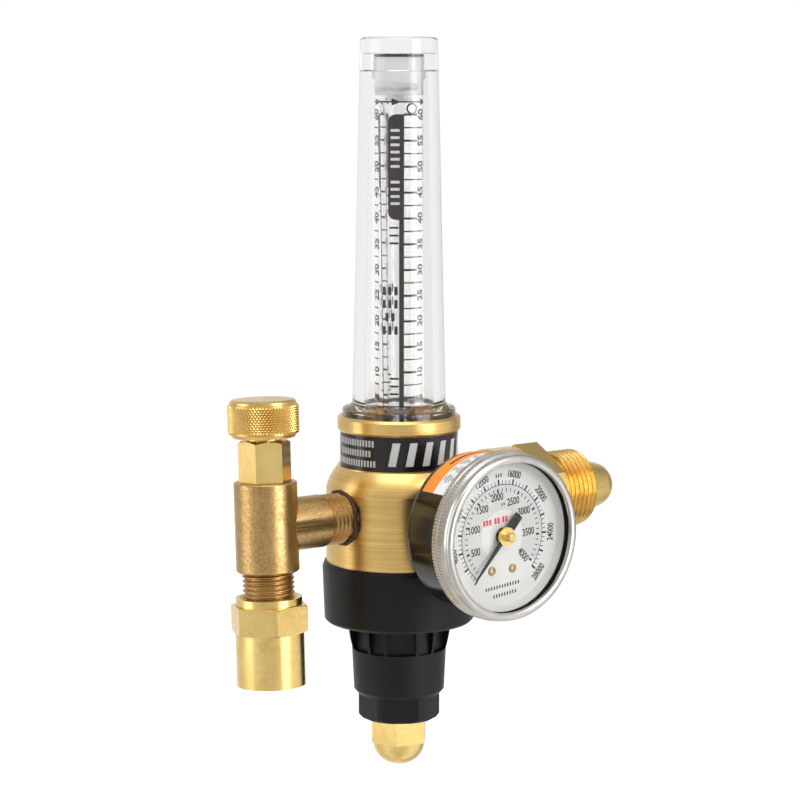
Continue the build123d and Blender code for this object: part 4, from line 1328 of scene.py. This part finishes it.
@dataclass
class InletNut:
    """The hexagon nut with a real screw thread."""

    crest: float = 12.23
    depth: float = 1.0
    pitch: float = 1.814
    length: float = 14.0
    chamfer: float = 0.8
    mouth_r: float = 9.8
    tool_r: float = 20.0
    past: float = 6.0

    def build(self) -> None:
        """Cuts the plain thread off the nut and puts a wound one in its place."""
        tool = Piece.rod(self.tool_r, -self.length, self.past).settle(LAYOUT.inlet())
        nut = Piece.of_node("inlet_nut").cut(tool)
        nut.ease(0.15, 25).smooth(30).stand_in("inlet_nut", Body.NUT)
        thread = Thread(self.crest, self.depth, self.pitch, -self.length - 0.1, self.chamfer, 96)
        root = self.crest - self.depth
        envelope = [
            (0, -self.length), (self.crest + 1, -self.length), (self.crest + 1, -0.4 * self.pitch),
            (self.crest - 0.5 * self.depth, self.chamfer * 0.6), (root, self.chamfer), (0, self.chamfer),
        ]
        wound = thread.build("inlet_thread").cut(Piece.turned("envelope", envelope), Cut.SHARED)
        wound.cut(Piece.rod(self.mouth_r, -20, 5, 96)).smooth(30).settle(LAYOUT.inlet())
        # The darker brass finish on the thread paints shade into its grooves.
        wound.mount(Body.NUT, "polished_brass", "knurled_brass")


@dataclass
class OutletTee:
    """The cast tee with its two male threads and the sealant ring."""

    crest: float = 7.57
    depth: float = 0.75
    pitch: float = 1.41
    foot: float = -12.9
    male_low: float = -25.15
    stub_end: float = 29.6
    stub_tip: float = 12.1
    bore_r: float = 3.45
    tool_r: float = 12.0
    sealant_at: float = 22.0
    sealant_section: float = 0.7
    sealant_lift: float = 0.2
    lump_size: float = 2.6
    lump_height: float = 1.6

    def tee(self) -> None:
        """Cuts both plain threads off the tee."""
        tee = Piece.of_node("outlet_tee")
        for low, high, place in ((-30, self.foot, LAYOUT.valve()), (5, self.stub_end, LAYOUT.stub())):
            tee.cut(Piece.rod(self.tool_r, low, high).settle(place))
        tee.ease(0.5, 40, 4).smooth(35).stand_in("outlet_tee")

    def threads(self) -> None:
        """Winds the two male threads and bores them."""
        for name, low, high, place in (
            ("outlet_thread", self.male_low, self.foot, LAYOUT.valve()),
            ("stub_thread", self.stub_tip, self.stub_end, LAYOUT.stub()),
        ):
            thread = Thread(self.crest, self.depth, self.pitch, low, high).build(name)
            thread.cut(Piece.rod(self.bore_r, low - 5, high + 5)).smooth(30).settle(place)
            thread.mount(Body.REGULATOR, "cast_brass")

    def sealant(self) -> None:
        """Turns a bead of thread sealant and makes it lumpy."""
        section = circle_points((self.crest + self.sealant_lift, self.sealant_at), self.sealant_section)
        bead = Piece.turned("thread_sealant_shape", section, 72)
        lumps = bpy.data.textures.new("lumps", "CLOUDS")
        lumps.noise_scale = self.lump_size * MM
        bead.modify("SUBSURF", levels=1, render_levels=1)
        bead.modify("DISPLACE", texture=lumps, strength=self.lump_height * MM, mid_level=0.58)
        bead.smooth(80).settle(LAYOUT.stub()).stand_in("thread_sealant")

    def build(self) -> None:
        """Builds the tee, its threads and the sealant."""
        self.tee()
        self.threads()
        self.sealant()


@dataclass
class Knob:
    """The brass knob with a pressed diamond knurl."""

    low: float = 26.55
    high: float = 37.5
    hub_low: float = 25.8
    hub_r: float = 5.4
    wall_r: float = 10.03
    shoulder_r: float = 9.75
    rim_r: float = 9.1
    peak: float = 0.36
    wall_low: float = 27.7
    wall_high: float = 36.1
    rows: int = 6
    round_count: int = 64
    bore_r: float = 3.05
    bore_top: float = 33.3

    def profile(self) -> list[Point]:
        """Gives the knob's profile, with a point at each row of the knurl.

        Returns:
            Radius and height of each point.
        """
        foot = [
            (self.bore_r, self.hub_low), (self.hub_r, self.hub_low), (self.hub_r, self.low),
            (self.rim_r, self.low), (self.shoulder_r, self.wall_low - 0.15),
        ]
        wall = [(self.wall_r, self.wall_low + self.step() * row) for row in range(self.rows + 1)]
        head = [
            (self.shoulder_r, self.wall_high + 0.2), (self.shoulder_r - 0.2, self.wall_high + 0.95),
            (self.rim_r, self.high - 0.1), (self.rim_r - 0.3, self.high), (0, self.high),
            (0, self.bore_top), (self.bore_r, self.bore_top),
        ]
        return foot + wall + head

    def step(self) -> float:
        """Gives the height of one row of the knurl."""
        return (self.wall_high - self.wall_low) / self.rows

    def build(self) -> None:
        """Turns the knob and presses the knurl into its wall.

        The wall's grid becomes diamonds, and each diamond is then drawn out to a peak.
        """
        knob = Piece.turned("valve_knob_shape", self.profile(), self.round_count)
        margin = self.step() * 0.3

        def on_wall(face: bpy.types.MeshPolygon) -> bool:
            """Says whether a face lies in the knurled wall.

            Args:
                face: A face of the knob.

            Returns:
                Whether it does.
            """
            point = face.center / MM
            inside = self.wall_low + margin < point.z < self.wall_high - margin
            return inside and point.xy.length > self.wall_r - 0.2

        def in_grid(edge: bpy.types.MeshEdge) -> bool:
            """Says whether an edge belongs to the plain grid and lies inside the wall.

            Args:
                edge: An edge of the knob.

            Returns:
                Whether it does.
            """
            ends = [knob.mesh.vertices[number].co / MM for number in edge.vertices]
            rows = [(point.z - self.wall_low) / self.step() for point in ends]
            straight = all(abs(row - round(row)) < 0.1 for row in rows)
            outer = min(point.xy.length for point in ends) > self.wall_r - 0.1
            return straight and outer and 0.1 < sum(rows) / 2 < self.rows - 0.1

        with knob.selecting(Kind.FACE, on_wall):
            bpy.ops.mesh.poke()
        with knob.selecting(Kind.EDGE, in_grid):
            bpy.ops.mesh.dissolve_edges(use_verts=False)
        with knob.selecting(Kind.FACE, on_wall):
            bpy.ops.mesh.poke(
                offset=self.peak * MM, use_relative_offset=False, center_mode="MEDIAN_WEIGHTED"
            )
        # The darker brass finish on the knob paints shade into the grooves of its knurl.
        knob.smooth(24).settle(LAYOUT.valve()).stand_in("valve_knob", Body.KNOB, "knurled_brass")


@dataclass
class Gauge:
    """The round gauge: bezel, window, dial with its print, eyelets and the sticker on the case."""

    case_r: float = 22.8
    case_front: float = 50.8
    bezel_back: float = 46.6
    bezel_front: float = 54.1
    bezel_r: float = 24.5
    bezel_fit: float = 0.05
    window_r: float = 23.0
    window_back: float = 51.3
    window_front: float = 52.7
    window_top: float = 55.1
    window_thick: float = 1.3
    lip_r: float = 21.7
    dial_front: float = 48.5
    dial_back: float = 48.0
    rim_front: float = 50.5
    dial_r: float = 21.7
    hole_r: float = 2.4
    dial_turn: float = 7.5
    psi_top: int = 4000
    psi_step: int = 100
    kpa_top: int = 27579
    kpa_step: int = 500
    kpa_ticks: int = 57
    sweep: float = 270.0
    zone_r: float = 11.2
    zone_width: float = 7.3
    circle_r: float = 14.9
    circle_width: float = 0.2
    inner_ticks: Point = (13.8, 12.7)
    inner_digits: float = 2.25
    inner_narrow: float = 0.74
    outer_numbers_r: float = 18.0
    outer_digits: float = 2.2
    outer_narrow: float = 0.7
    red_block: Point = (0.75, 1.7)
    red_pitch: float = 1.1
    red_y: float = 4.75
    red_slope: float = 0.09
    screw_x: float = 3.85
    screw_y: float = -9.85
    sticker_low: float = 35.4
    sticker_high: float = 46.5
    sticker_split: float = 40.4
    sticker_arc: float = 110.0
    sticker_lift: float = 0.06
    bars_lift: float = 0.15
    bars_grid: tuple[int, int] = (5, 9)
    bars_step: Point = (4.1, 1.05)
    bars_edge: float = 0.9
    bars_long: float = 2.2
    bars_vary: float = 1.1
    bars_thin: float = 0.32
    wide_bar_rise: float = 2.4
    wide_bar_thick: float = 0.7
    serrations: int = 150
    tooth: float = 0.3

    def angle(self, share: float) -> float:
        """Gives the dial angle for a share of the full scale."""
        return 225 + self.dial_turn - self.sweep * share

    def bezel(self) -> None:
        """Turns the bezel, with fine teeth pressed into its two bands."""
        back, front, rim = self.bezel_back, self.bezel_front, self.bezel_r
        wall, seat = self.case_r + self.bezel_fit, self.window_r + self.bezel_fit
        ledge = self.window_front + self.bezel_fit
        profile = [
            (wall, back), (rim - 0.45, back), (rim, back + 0.3), (rim, back + 1.7), (rim - 0.4, back + 1.95),
            (rim - 0.4, back + 2.45), (rim, back + 2.75), (rim, back + 4.2), (rim - 0.9, back + 4.75),
            (rim - 1.05, self.window_front - 0.4), (rim - 0.62, self.window_front),
            (rim - 0.55, front - 0.75), (rim - 0.9, front - 0.2), (rim - 1.5, front),
            (self.lip_r + 0.5, front), (self.lip_r + 0.1, front - 0.25), (self.lip_r, front - 0.6),
            (self.lip_r, ledge), (seat, ledge), (seat, self.case_front), (wall, self.case_front),
        ]
        piece = Piece.turned("gauge_bezel_shape", profile, self.serrations * 2)
        pitch = math.tau / (self.serrations * 2)

        def tooth_gap(vertex: bpy.types.MeshVertex) -> bool:
            """Says whether a vertex lies in a gap between two teeth.

            Args:
                vertex: A vertex of the bezel.

            Returns:
                Whether it does.
            """
            point = vertex.co / MM
            odd = round(math.atan2(point.y, point.x) / pitch) % 2 == 1
            return odd and point.xy.length > rim - 0.1 and point.z < back + 4.3

        share = 1 - self.tooth / rim
        with piece.selecting(Kind.VERT, tooth_gap):
            bpy.ops.transform.resize(value=(share, share, 1), center_override=(0, 0, 0))
        piece.smooth(40).settle(LAYOUT.gauge()).stand_in("gauge_bezel")

    def window(self) -> None:
        """Turns the domed window."""
        rise = self.window_top - self.window_front
        dome = (self.lip_r**2 + rise**2) / (2 * rise)
        middle = self.window_top - dome
        under = dome - self.window_thick
        reach = math.degrees(math.asin((self.window_back - middle) / under))
        edge = math.degrees(math.asin((self.window_front - middle) / dome))
        profile = arc_points((0, middle), under, 90, reach, 14)
        profile += [(self.window_r, self.window_back), (self.window_r, self.window_front)]
        profile += arc_points((0, middle), dome, edge, 90, 14)
        lathe("gauge_window", profile, LAYOUT.gauge(), 30, finish="window_clear")

    def dial(self) -> None:
        """Turns the dial, a thin plate with a raised outer rim."""
        profile = [
            (self.hole_r, self.dial_back), (self.dial_r, self.dial_back), (self.dial_r, self.rim_front),
            (self.dial_r - 0.3, self.rim_front), (self.dial_r - 1.5, self.dial_front + 0.35),
            (self.dial_r - 2.3, self.dial_front), (self.hole_r, self.dial_front),
        ]
        lathe("gauge_dial", profile, LAYOUT.gauge(), 12)

    def tick(self, sheet: Sheet, angle: float, inner: float, outer: float, width: float) -> None:
        """Adds one radial tick.

        Args:
            sheet: The print.
            angle: Where it stands on the dial, in degrees.
            inner: Radius of one end.
            outer: Radius of the other end.
            width: Width of the tick.
        """
        sheet.bar(*around(angle, (inner + outer) / 2), abs(outer - inner), width, angle)

    def ticks(self, sheet: Sheet) -> None:
        """Adds the ticks of both scales, every fifth and every fourth one thick.

        Args:
            sheet: The print.
        """
        for mark in range(self.psi_top // self.psi_step + 1):
            width = 0.26 if mark % 5 else 0.62
            self.tick(sheet, self.angle(mark * self.psi_step / self.psi_top), *self.inner_ticks, width)
        for mark in range(self.kpa_ticks):
            outer, width = (16.1, 0.22) if mark % 4 else (16.5, 0.56)
            self.tick(sheet, self.angle(mark * self.kpa_step / self.kpa_top), self.circle_r, outer, width)

    def numbers(self, sheet: Sheet) -> None:
        """Adds the numbers of both scales.

        Args:
            sheet: The print.
        """
        for value, x, y, turn in (
            ("500", -9.8, -3.7, 5), ("1000", -10.2, 2.8, 5), ("1500", -7.3, 8.4, 5), ("2000", -2.0, 11.4, 5),
            ("2500", 4.0, 9.7, 5), ("3000", 8.0, 6.5, 5), ("3500", 9.7, 0.2, 5), ("4000", 7.9, -6.3, -48),
        ):
            sheet.number(value, x, y, self.inner_digits, turn, self.inner_narrow)
        for value in range(4000, 28001, 4000):
            angle = self.angle(value / self.kpa_top)
            quarter = 90 if value >= 24000 else -90
            where = around(angle, self.outer_numbers_r)
            sheet.number(str(value), *where, self.outer_digits, angle + quarter, self.outer_narrow)

    def print_on_dial(self, sheet: Sheet, finish: str, lift: float = 0.015, thickness: float = 0.02) -> None:
        """Puts a flat print on the dial and mounts it.

        Args:
            sheet: The print.
            finish: Its finish.
            lift: How far it lies over the dial.
            thickness: Its thickness.
        """
        place = LAYOUT.gauge() @ shift(0, 0, self.dial_front + lift)
        sheet.finish().thicken(thickness).settle(place).mount(Body.REGULATOR, "dial_face", finish)

    def prints(self) -> None:
        """Prints the two scales, their numbers and the plain bars."""
        zone = Sheet("dial_zone")
        zone.arc(self.zone_r, self.zone_width, self.angle(1.0) + 2, self.angle(0) - 6)
        self.print_on_dial(zone, "dial_zone", 0.004, 0.008)
        ink = Sheet("dial_scale")
        ink.arc(self.circle_r, self.circle_width, self.angle(1.015), self.angle(0))
        self.ticks(ink)
        self.numbers(ink)
        for x, y, count, size, pitch, turn in (
            (0.1, -14.6, 13, (0.45, 1.0), 1.0, 5), (1.0, -17.0, 9, (0.45, 1.0), 1.0, 6),
            (0.2, 9.2, 2, (0.35, 0.9), 0.8, 5), (-1.5, 17.6, 3, (0.4, 1.1), 0.9, 6),
        ):
            ink.blocks(x, y, count, size, pitch, turn)
        self.print_on_dial(ink, "dial_ink")
        red = Sheet("dial_red_bars")
        for centre, count in ((-5.6, 3), (-2.0, 2), (0.9, 2)):
            red.blocks(centre, self.red_y + self.red_slope * centre, count, self.red_block, self.red_pitch, 5)
        self.print_on_dial(red, "red_ink")

    def eyelets(self) -> None:
        """Turns the two brass eyelets that hold the dial."""
        front = self.dial_front
        profile = [
            (0, 45.8), (0.64, 45.8), (0.64, front), (1.3, front), (1.3, front + 0.3), (1.12, front + 0.52),
            (0.86, front + 0.55), (0.68, front + 0.4), (0.6, front - 1.2), (0, front - 1.2),
        ]
        first = Piece.turned("dial_screws_shape", profile, 32)
        pair = [first, first.twin("eyelet")]
        for piece, side in zip(pair, (-1, 1)):
            piece.settle(shift(side * self.screw_x, self.screw_y, 0))
        both = Piece.joined([piece.thing for piece in pair], "dial_screws_shape")
        both.smooth(50).settle(LAYOUT.gauge()).stand_in("dial_screws", finish="cast_brass")

    def sticker(self) -> None:
        """Lays the two-coloured film on the case, with rows of thin bars on its pale half."""
        reach = math.radians(self.sticker_arc) * self.case_r
        halves = []
        for name, low, high in (
            ("sticker_back", self.sticker_low, self.sticker_split),
            ("sticker_front", self.sticker_split, self.sticker_high),
        ):
            film = Sheet(name)
            film.bar(0, (low + high) / 2, reach, high - low)
            film = film.wrapped(self.case_r + self.sticker_lift, 90, 1.0, 0.08)
            halves.append(film.settle(LAYOUT.gauge()))
        halves[0].stand_in("gauge_sticker", finish="orange_film")
        halves[1].mount(Body.REGULATOR, "sticker_film", "white_film")
        sheet = Sheet("sticker_bars")
        rows, columns = self.bars_grid
        across, up = self.bars_step
        for row in range(rows):
            for number in range(columns):
                length = self.bars_long + self.bars_vary * math.sin(2.3 * number + 1.7 * row)
                height = self.sticker_split + self.bars_edge + up * row
                sheet.bar(across * (number - columns // 2), height, length, self.bars_thin)
        sheet.bar(0, self.sticker_low + self.wide_bar_rise, reach / 2, self.wide_bar_thick)
        bars = sheet.wrapped(self.case_r + self.bars_lift, 90, 1.0, 0.02).settle(LAYOUT.gauge())
        bars.mount(Body.REGULATOR, "sticker_film", "dial_ink")

    def build(self) -> None:
        """Builds every visible piece of the gauge."""
        self.bezel()
        self.window()
        self.dial()
        self.prints()
        self.eyelets()
        self.sticker()


@dataclass(frozen=True)
class Lamp:
    """A soft rectangular lamp that faces the part, with angles in degrees, sizes in metres and watts."""

    name: str
    turn: float
    rise: float
    distance: float
    size: Point
    power: float


@dataclass
class Studio:
    """Camera, lamps, floor and background."""

    camera_turn: float = 37.5
    camera_distance: float = 730.0
    sensor_mm: float = 36.0
    focal_px: float = 2450.0
    frame_px: float = 800.0
    axis_px: float = 399.0
    horizon_px: float = 80.0
    port_px: float = 510.0
    aim_height: float = 20.0
    floor_z: float = -140.0
    floor_size: float = 1.3
    floor_glow: float = 0.93
    floor_shade: float = 0.2
    soft_light: float = 0.55
    side_change: Point = (0.42, 0.62)
    left_tones: tuple[Point, ...] = ((0.0, 0.6), (0.25, 0.95), (0.65, 0.62), (1.0, 0.9))
    right_tones: tuple[Point, ...] = ((0.0, 0.6), (0.25, 1.0), (0.6, 0.85), (0.82, 0.3), (1.0, 0.8))
    lamps: tuple[Lamp, ...] = (
        Lamp("key", 52, 16, 1.0, (0.5, 1.1), 7.5),
        Lamp("fill", -75, 12, 1.1, (0.7, 1.1), 4.0),
        Lamp("top", -10, 70, 1.0, (0.8, 0.8), 4.0),
    )

    def heading(self) -> tuple[Vector, Vector]:
        """Gives the camera's level directions to the right and forwards."""
        angle = -math.radians(self.camera_turn)
        return Vector((math.cos(angle), math.sin(angle), 0)), Vector((-math.sin(angle), math.cos(angle), 0))

    def camera(self) -> None:
        """Sets the camera so that the axis and the ports land where the photograph has them."""
        right, ahead = self.heading()
        middle = self.frame_px / 2
        tilt = math.atan((middle - self.horizon_px) / self.focal_px)
        rise = math.atan((self.port_px - middle) / self.focal_px)
        height = self.camera_distance * math.tan(tilt + rise)
        depth = self.camera_distance * math.cos(tilt) + height * math.sin(tilt)
        aside = (middle - self.axis_px) * depth / self.focal_px
        place = Vector((-LAYOUT.inlet_reach, 0, 0)) - ahead * self.camera_distance + right * aside
        place.z = height
        forward = ahead * math.cos(tilt) - Vector((0, 0, 1)) * math.sin(tilt)
        data = bpy.data.cameras.new("camera")
        data.sensor_width = self.sensor_mm
        data.lens = self.sensor_mm * self.focal_px / self.frame_px
        data.clip_start = 0.01
        data.clip_end = 100
        camera = linked("camera", data)
        camera.location = place * MM
        camera.rotation_euler = forward.to_track_quat("-Z", "Y").to_euler()
        bpy.context.scene.camera = camera

    def hang(self, lamp: Lamp) -> None:
        """Hangs a lamp, turned to the right of the camera and raised over the level.

        Args:
            lamp: The lamp.
        """
        data = bpy.data.lights.new(lamp.name, "AREA")
        data.shape = "RECTANGLE"
        data.size, data.size_y = lamp.size
        data.energy = lamp.power
        right, ahead = self.heading()
        angle, lift = math.radians(lamp.turn), math.radians(lamp.rise)
        level = right * math.sin(angle) - ahead * math.cos(angle)
        away = level * math.cos(lift) + Vector((0, 0, 1)) * math.sin(lift)
        aim = Vector((-LAYOUT.inlet_reach, 0, self.aim_height)) * MM
        light = linked(lamp.name, data)
        light.location = aim + away * lamp.distance
        light.rotation_euler = (-away).to_track_quat("-Z", "Y").to_euler()

    def tent(self, nodes: Nodes, where: Socket) -> Socket:
        """Shades the studio's walls by direction, dark behind the camera and bright at its sides.

        Args:
            nodes: Node helper of the world or the floor.
            where: Direction from the part.

        Returns:
            The shade of that direction.
        """
        shares = []
        for axis in self.heading():
            along = nodes.add("ShaderNodeVectorMath", {0: where, 1: axis}, operation="DOT_PRODUCT")
            shares.append(nodes.math("MULTIPLY_ADD", along.outputs["Value"], 0.5, 0.5))
        side, depth = shares
        left, right = (
            nodes.ramp(depth, [(place, (tone,) * 3) for place, tone in tones])
            for tones in (self.left_tones, self.right_tones)
        )
        first, last = self.side_change
        return nodes.blend(nodes.ramp(side, [(first, (0.0,) * 3), (last, WHITE)]), left, right)

    def seen_and_glossy(self, nodes: Nodes) -> tuple[Socket, Socket]:
        """Tells what the camera sees, straight or through clear pieces, from what gloss mirrors.

        Args:
            nodes: Node helper of the world or the floor.

        Returns:
            One for the camera's rays, and one for glossy rays.
        """
        path = nodes.add("ShaderNodeLightPath").outputs
        seen = nodes.math("MAXIMUM", path["Is Camera Ray"], path["Is Transmission Ray"])
        return seen, path["Is Glossy Ray"]

    def world(self) -> None:
        """White where the camera looks, and a soft tent with greyer sides for light and gloss."""
        world = bpy.data.worlds.new("studio")
        world.use_nodes = True
        bpy.context.scene.world = world
        nodes = Nodes(world.node_tree)
        world.node_tree.nodes.clear()
        tent = self.tent(nodes, nodes.add("ShaderNodeTexCoord").outputs["Generated"])
        gloss, soft, white = (
            nodes.add("ShaderNodeBackground", {"Color": colour, "Strength": strength}).outputs[0]
            for colour, strength in ((tent, 1.0), (WHITE, self.soft_light), (WHITE, 1.0))
        )
        seen, glossy = self.seen_and_glossy(nodes)
        mixed = nodes.add("ShaderNodeMixShader", {0: glossy, 1: soft, 2: gloss}).outputs[0]
        final = nodes.add("ShaderNodeMixShader", {0: seen, 1: mixed, 2: white}).outputs[0]
        nodes.add("ShaderNodeOutputWorld", {0: final})

    def floor(self) -> None:
        """Lays a wide pale floor that keeps the part's shadow and carries on the tent's shades in gloss."""
        clear()
        bpy.ops.mesh.primitive_plane_add(size=self.floor_size, location=(0, 0, self.floor_z * MM))
        plane = Piece(bpy.context.object, "floor")
        material, nodes, shader = open_material("pale_floor")
        place = nodes.add("ShaderNodeTexCoord").outputs["Object"]
        centred = nodes.add("ShaderNodeVectorMath", {0: place, 1: MAIN_CENTRE}, operation="ADD").outputs[0]
        level = nodes.add("ShaderNodeVectorMath", {0: centred}, operation="NORMALIZE").outputs[0]
        seen, glossy = self.seen_and_glossy(nodes)
        either = nodes.math("MAXIMUM", seen, glossy)
        nodes.fill(shader, {
            "Roughness": 0.9,
            "Base Color": nodes.blend(either, (0.8, 0.8, 0.8), (self.floor_shade,) * 3),
            "Emission Color": nodes.blend(glossy, WHITE, self.tent(nodes, level)),
            "Emission Strength": nodes.math("MULTIPLY", either, self.floor_glow),
        })
        plane.mesh.materials.append(material)

    def build(self) -> None:
        """Sets up the whole studio."""
        bpy.context.scene.view_settings.view_transform = "Standard"
        self.world()
        self.floor()
        for lamp in self.lamps:
            self.hang(lamp)
        self.camera()


DRESSED = (
    Dressed("regulator_body", ease=0.15),
    Dressed("bonnet", ease=0.35, angle=28, segments=3),
    Dressed("acorn_cap", ease=0.25),
    Dressed("packing_nut", ease=0.12),
    Dressed("outlet_adapter", ease=0.15),
    Dressed("inlet_nipple", ease=0.1),
    Dressed("gauge_case"),
    Dressed("top_plug", ease=0.15),
    Dressed("pointer", Body.POINTER),
    Dressed("pointer_arbor", Body.POINTER, ease=0.05),
)


def main() -> None:
    """Builds the studio and every sub-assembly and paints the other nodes."""
    Studio().build()
    for item in DRESSED:
        item.build()
    for assembly in (FlowTube(), LabelBand(), InletNut(), OutletTee(), Knob(), Gauge()):
        assembly.build()
        LOG.info("finished %s", type(assembly).__name__)
    for node, slot in SLOTS.items():
        if node not in REPLACED:
            paint(frame["nodes"][node], slot)


if __name__ == "__main__":
    main()
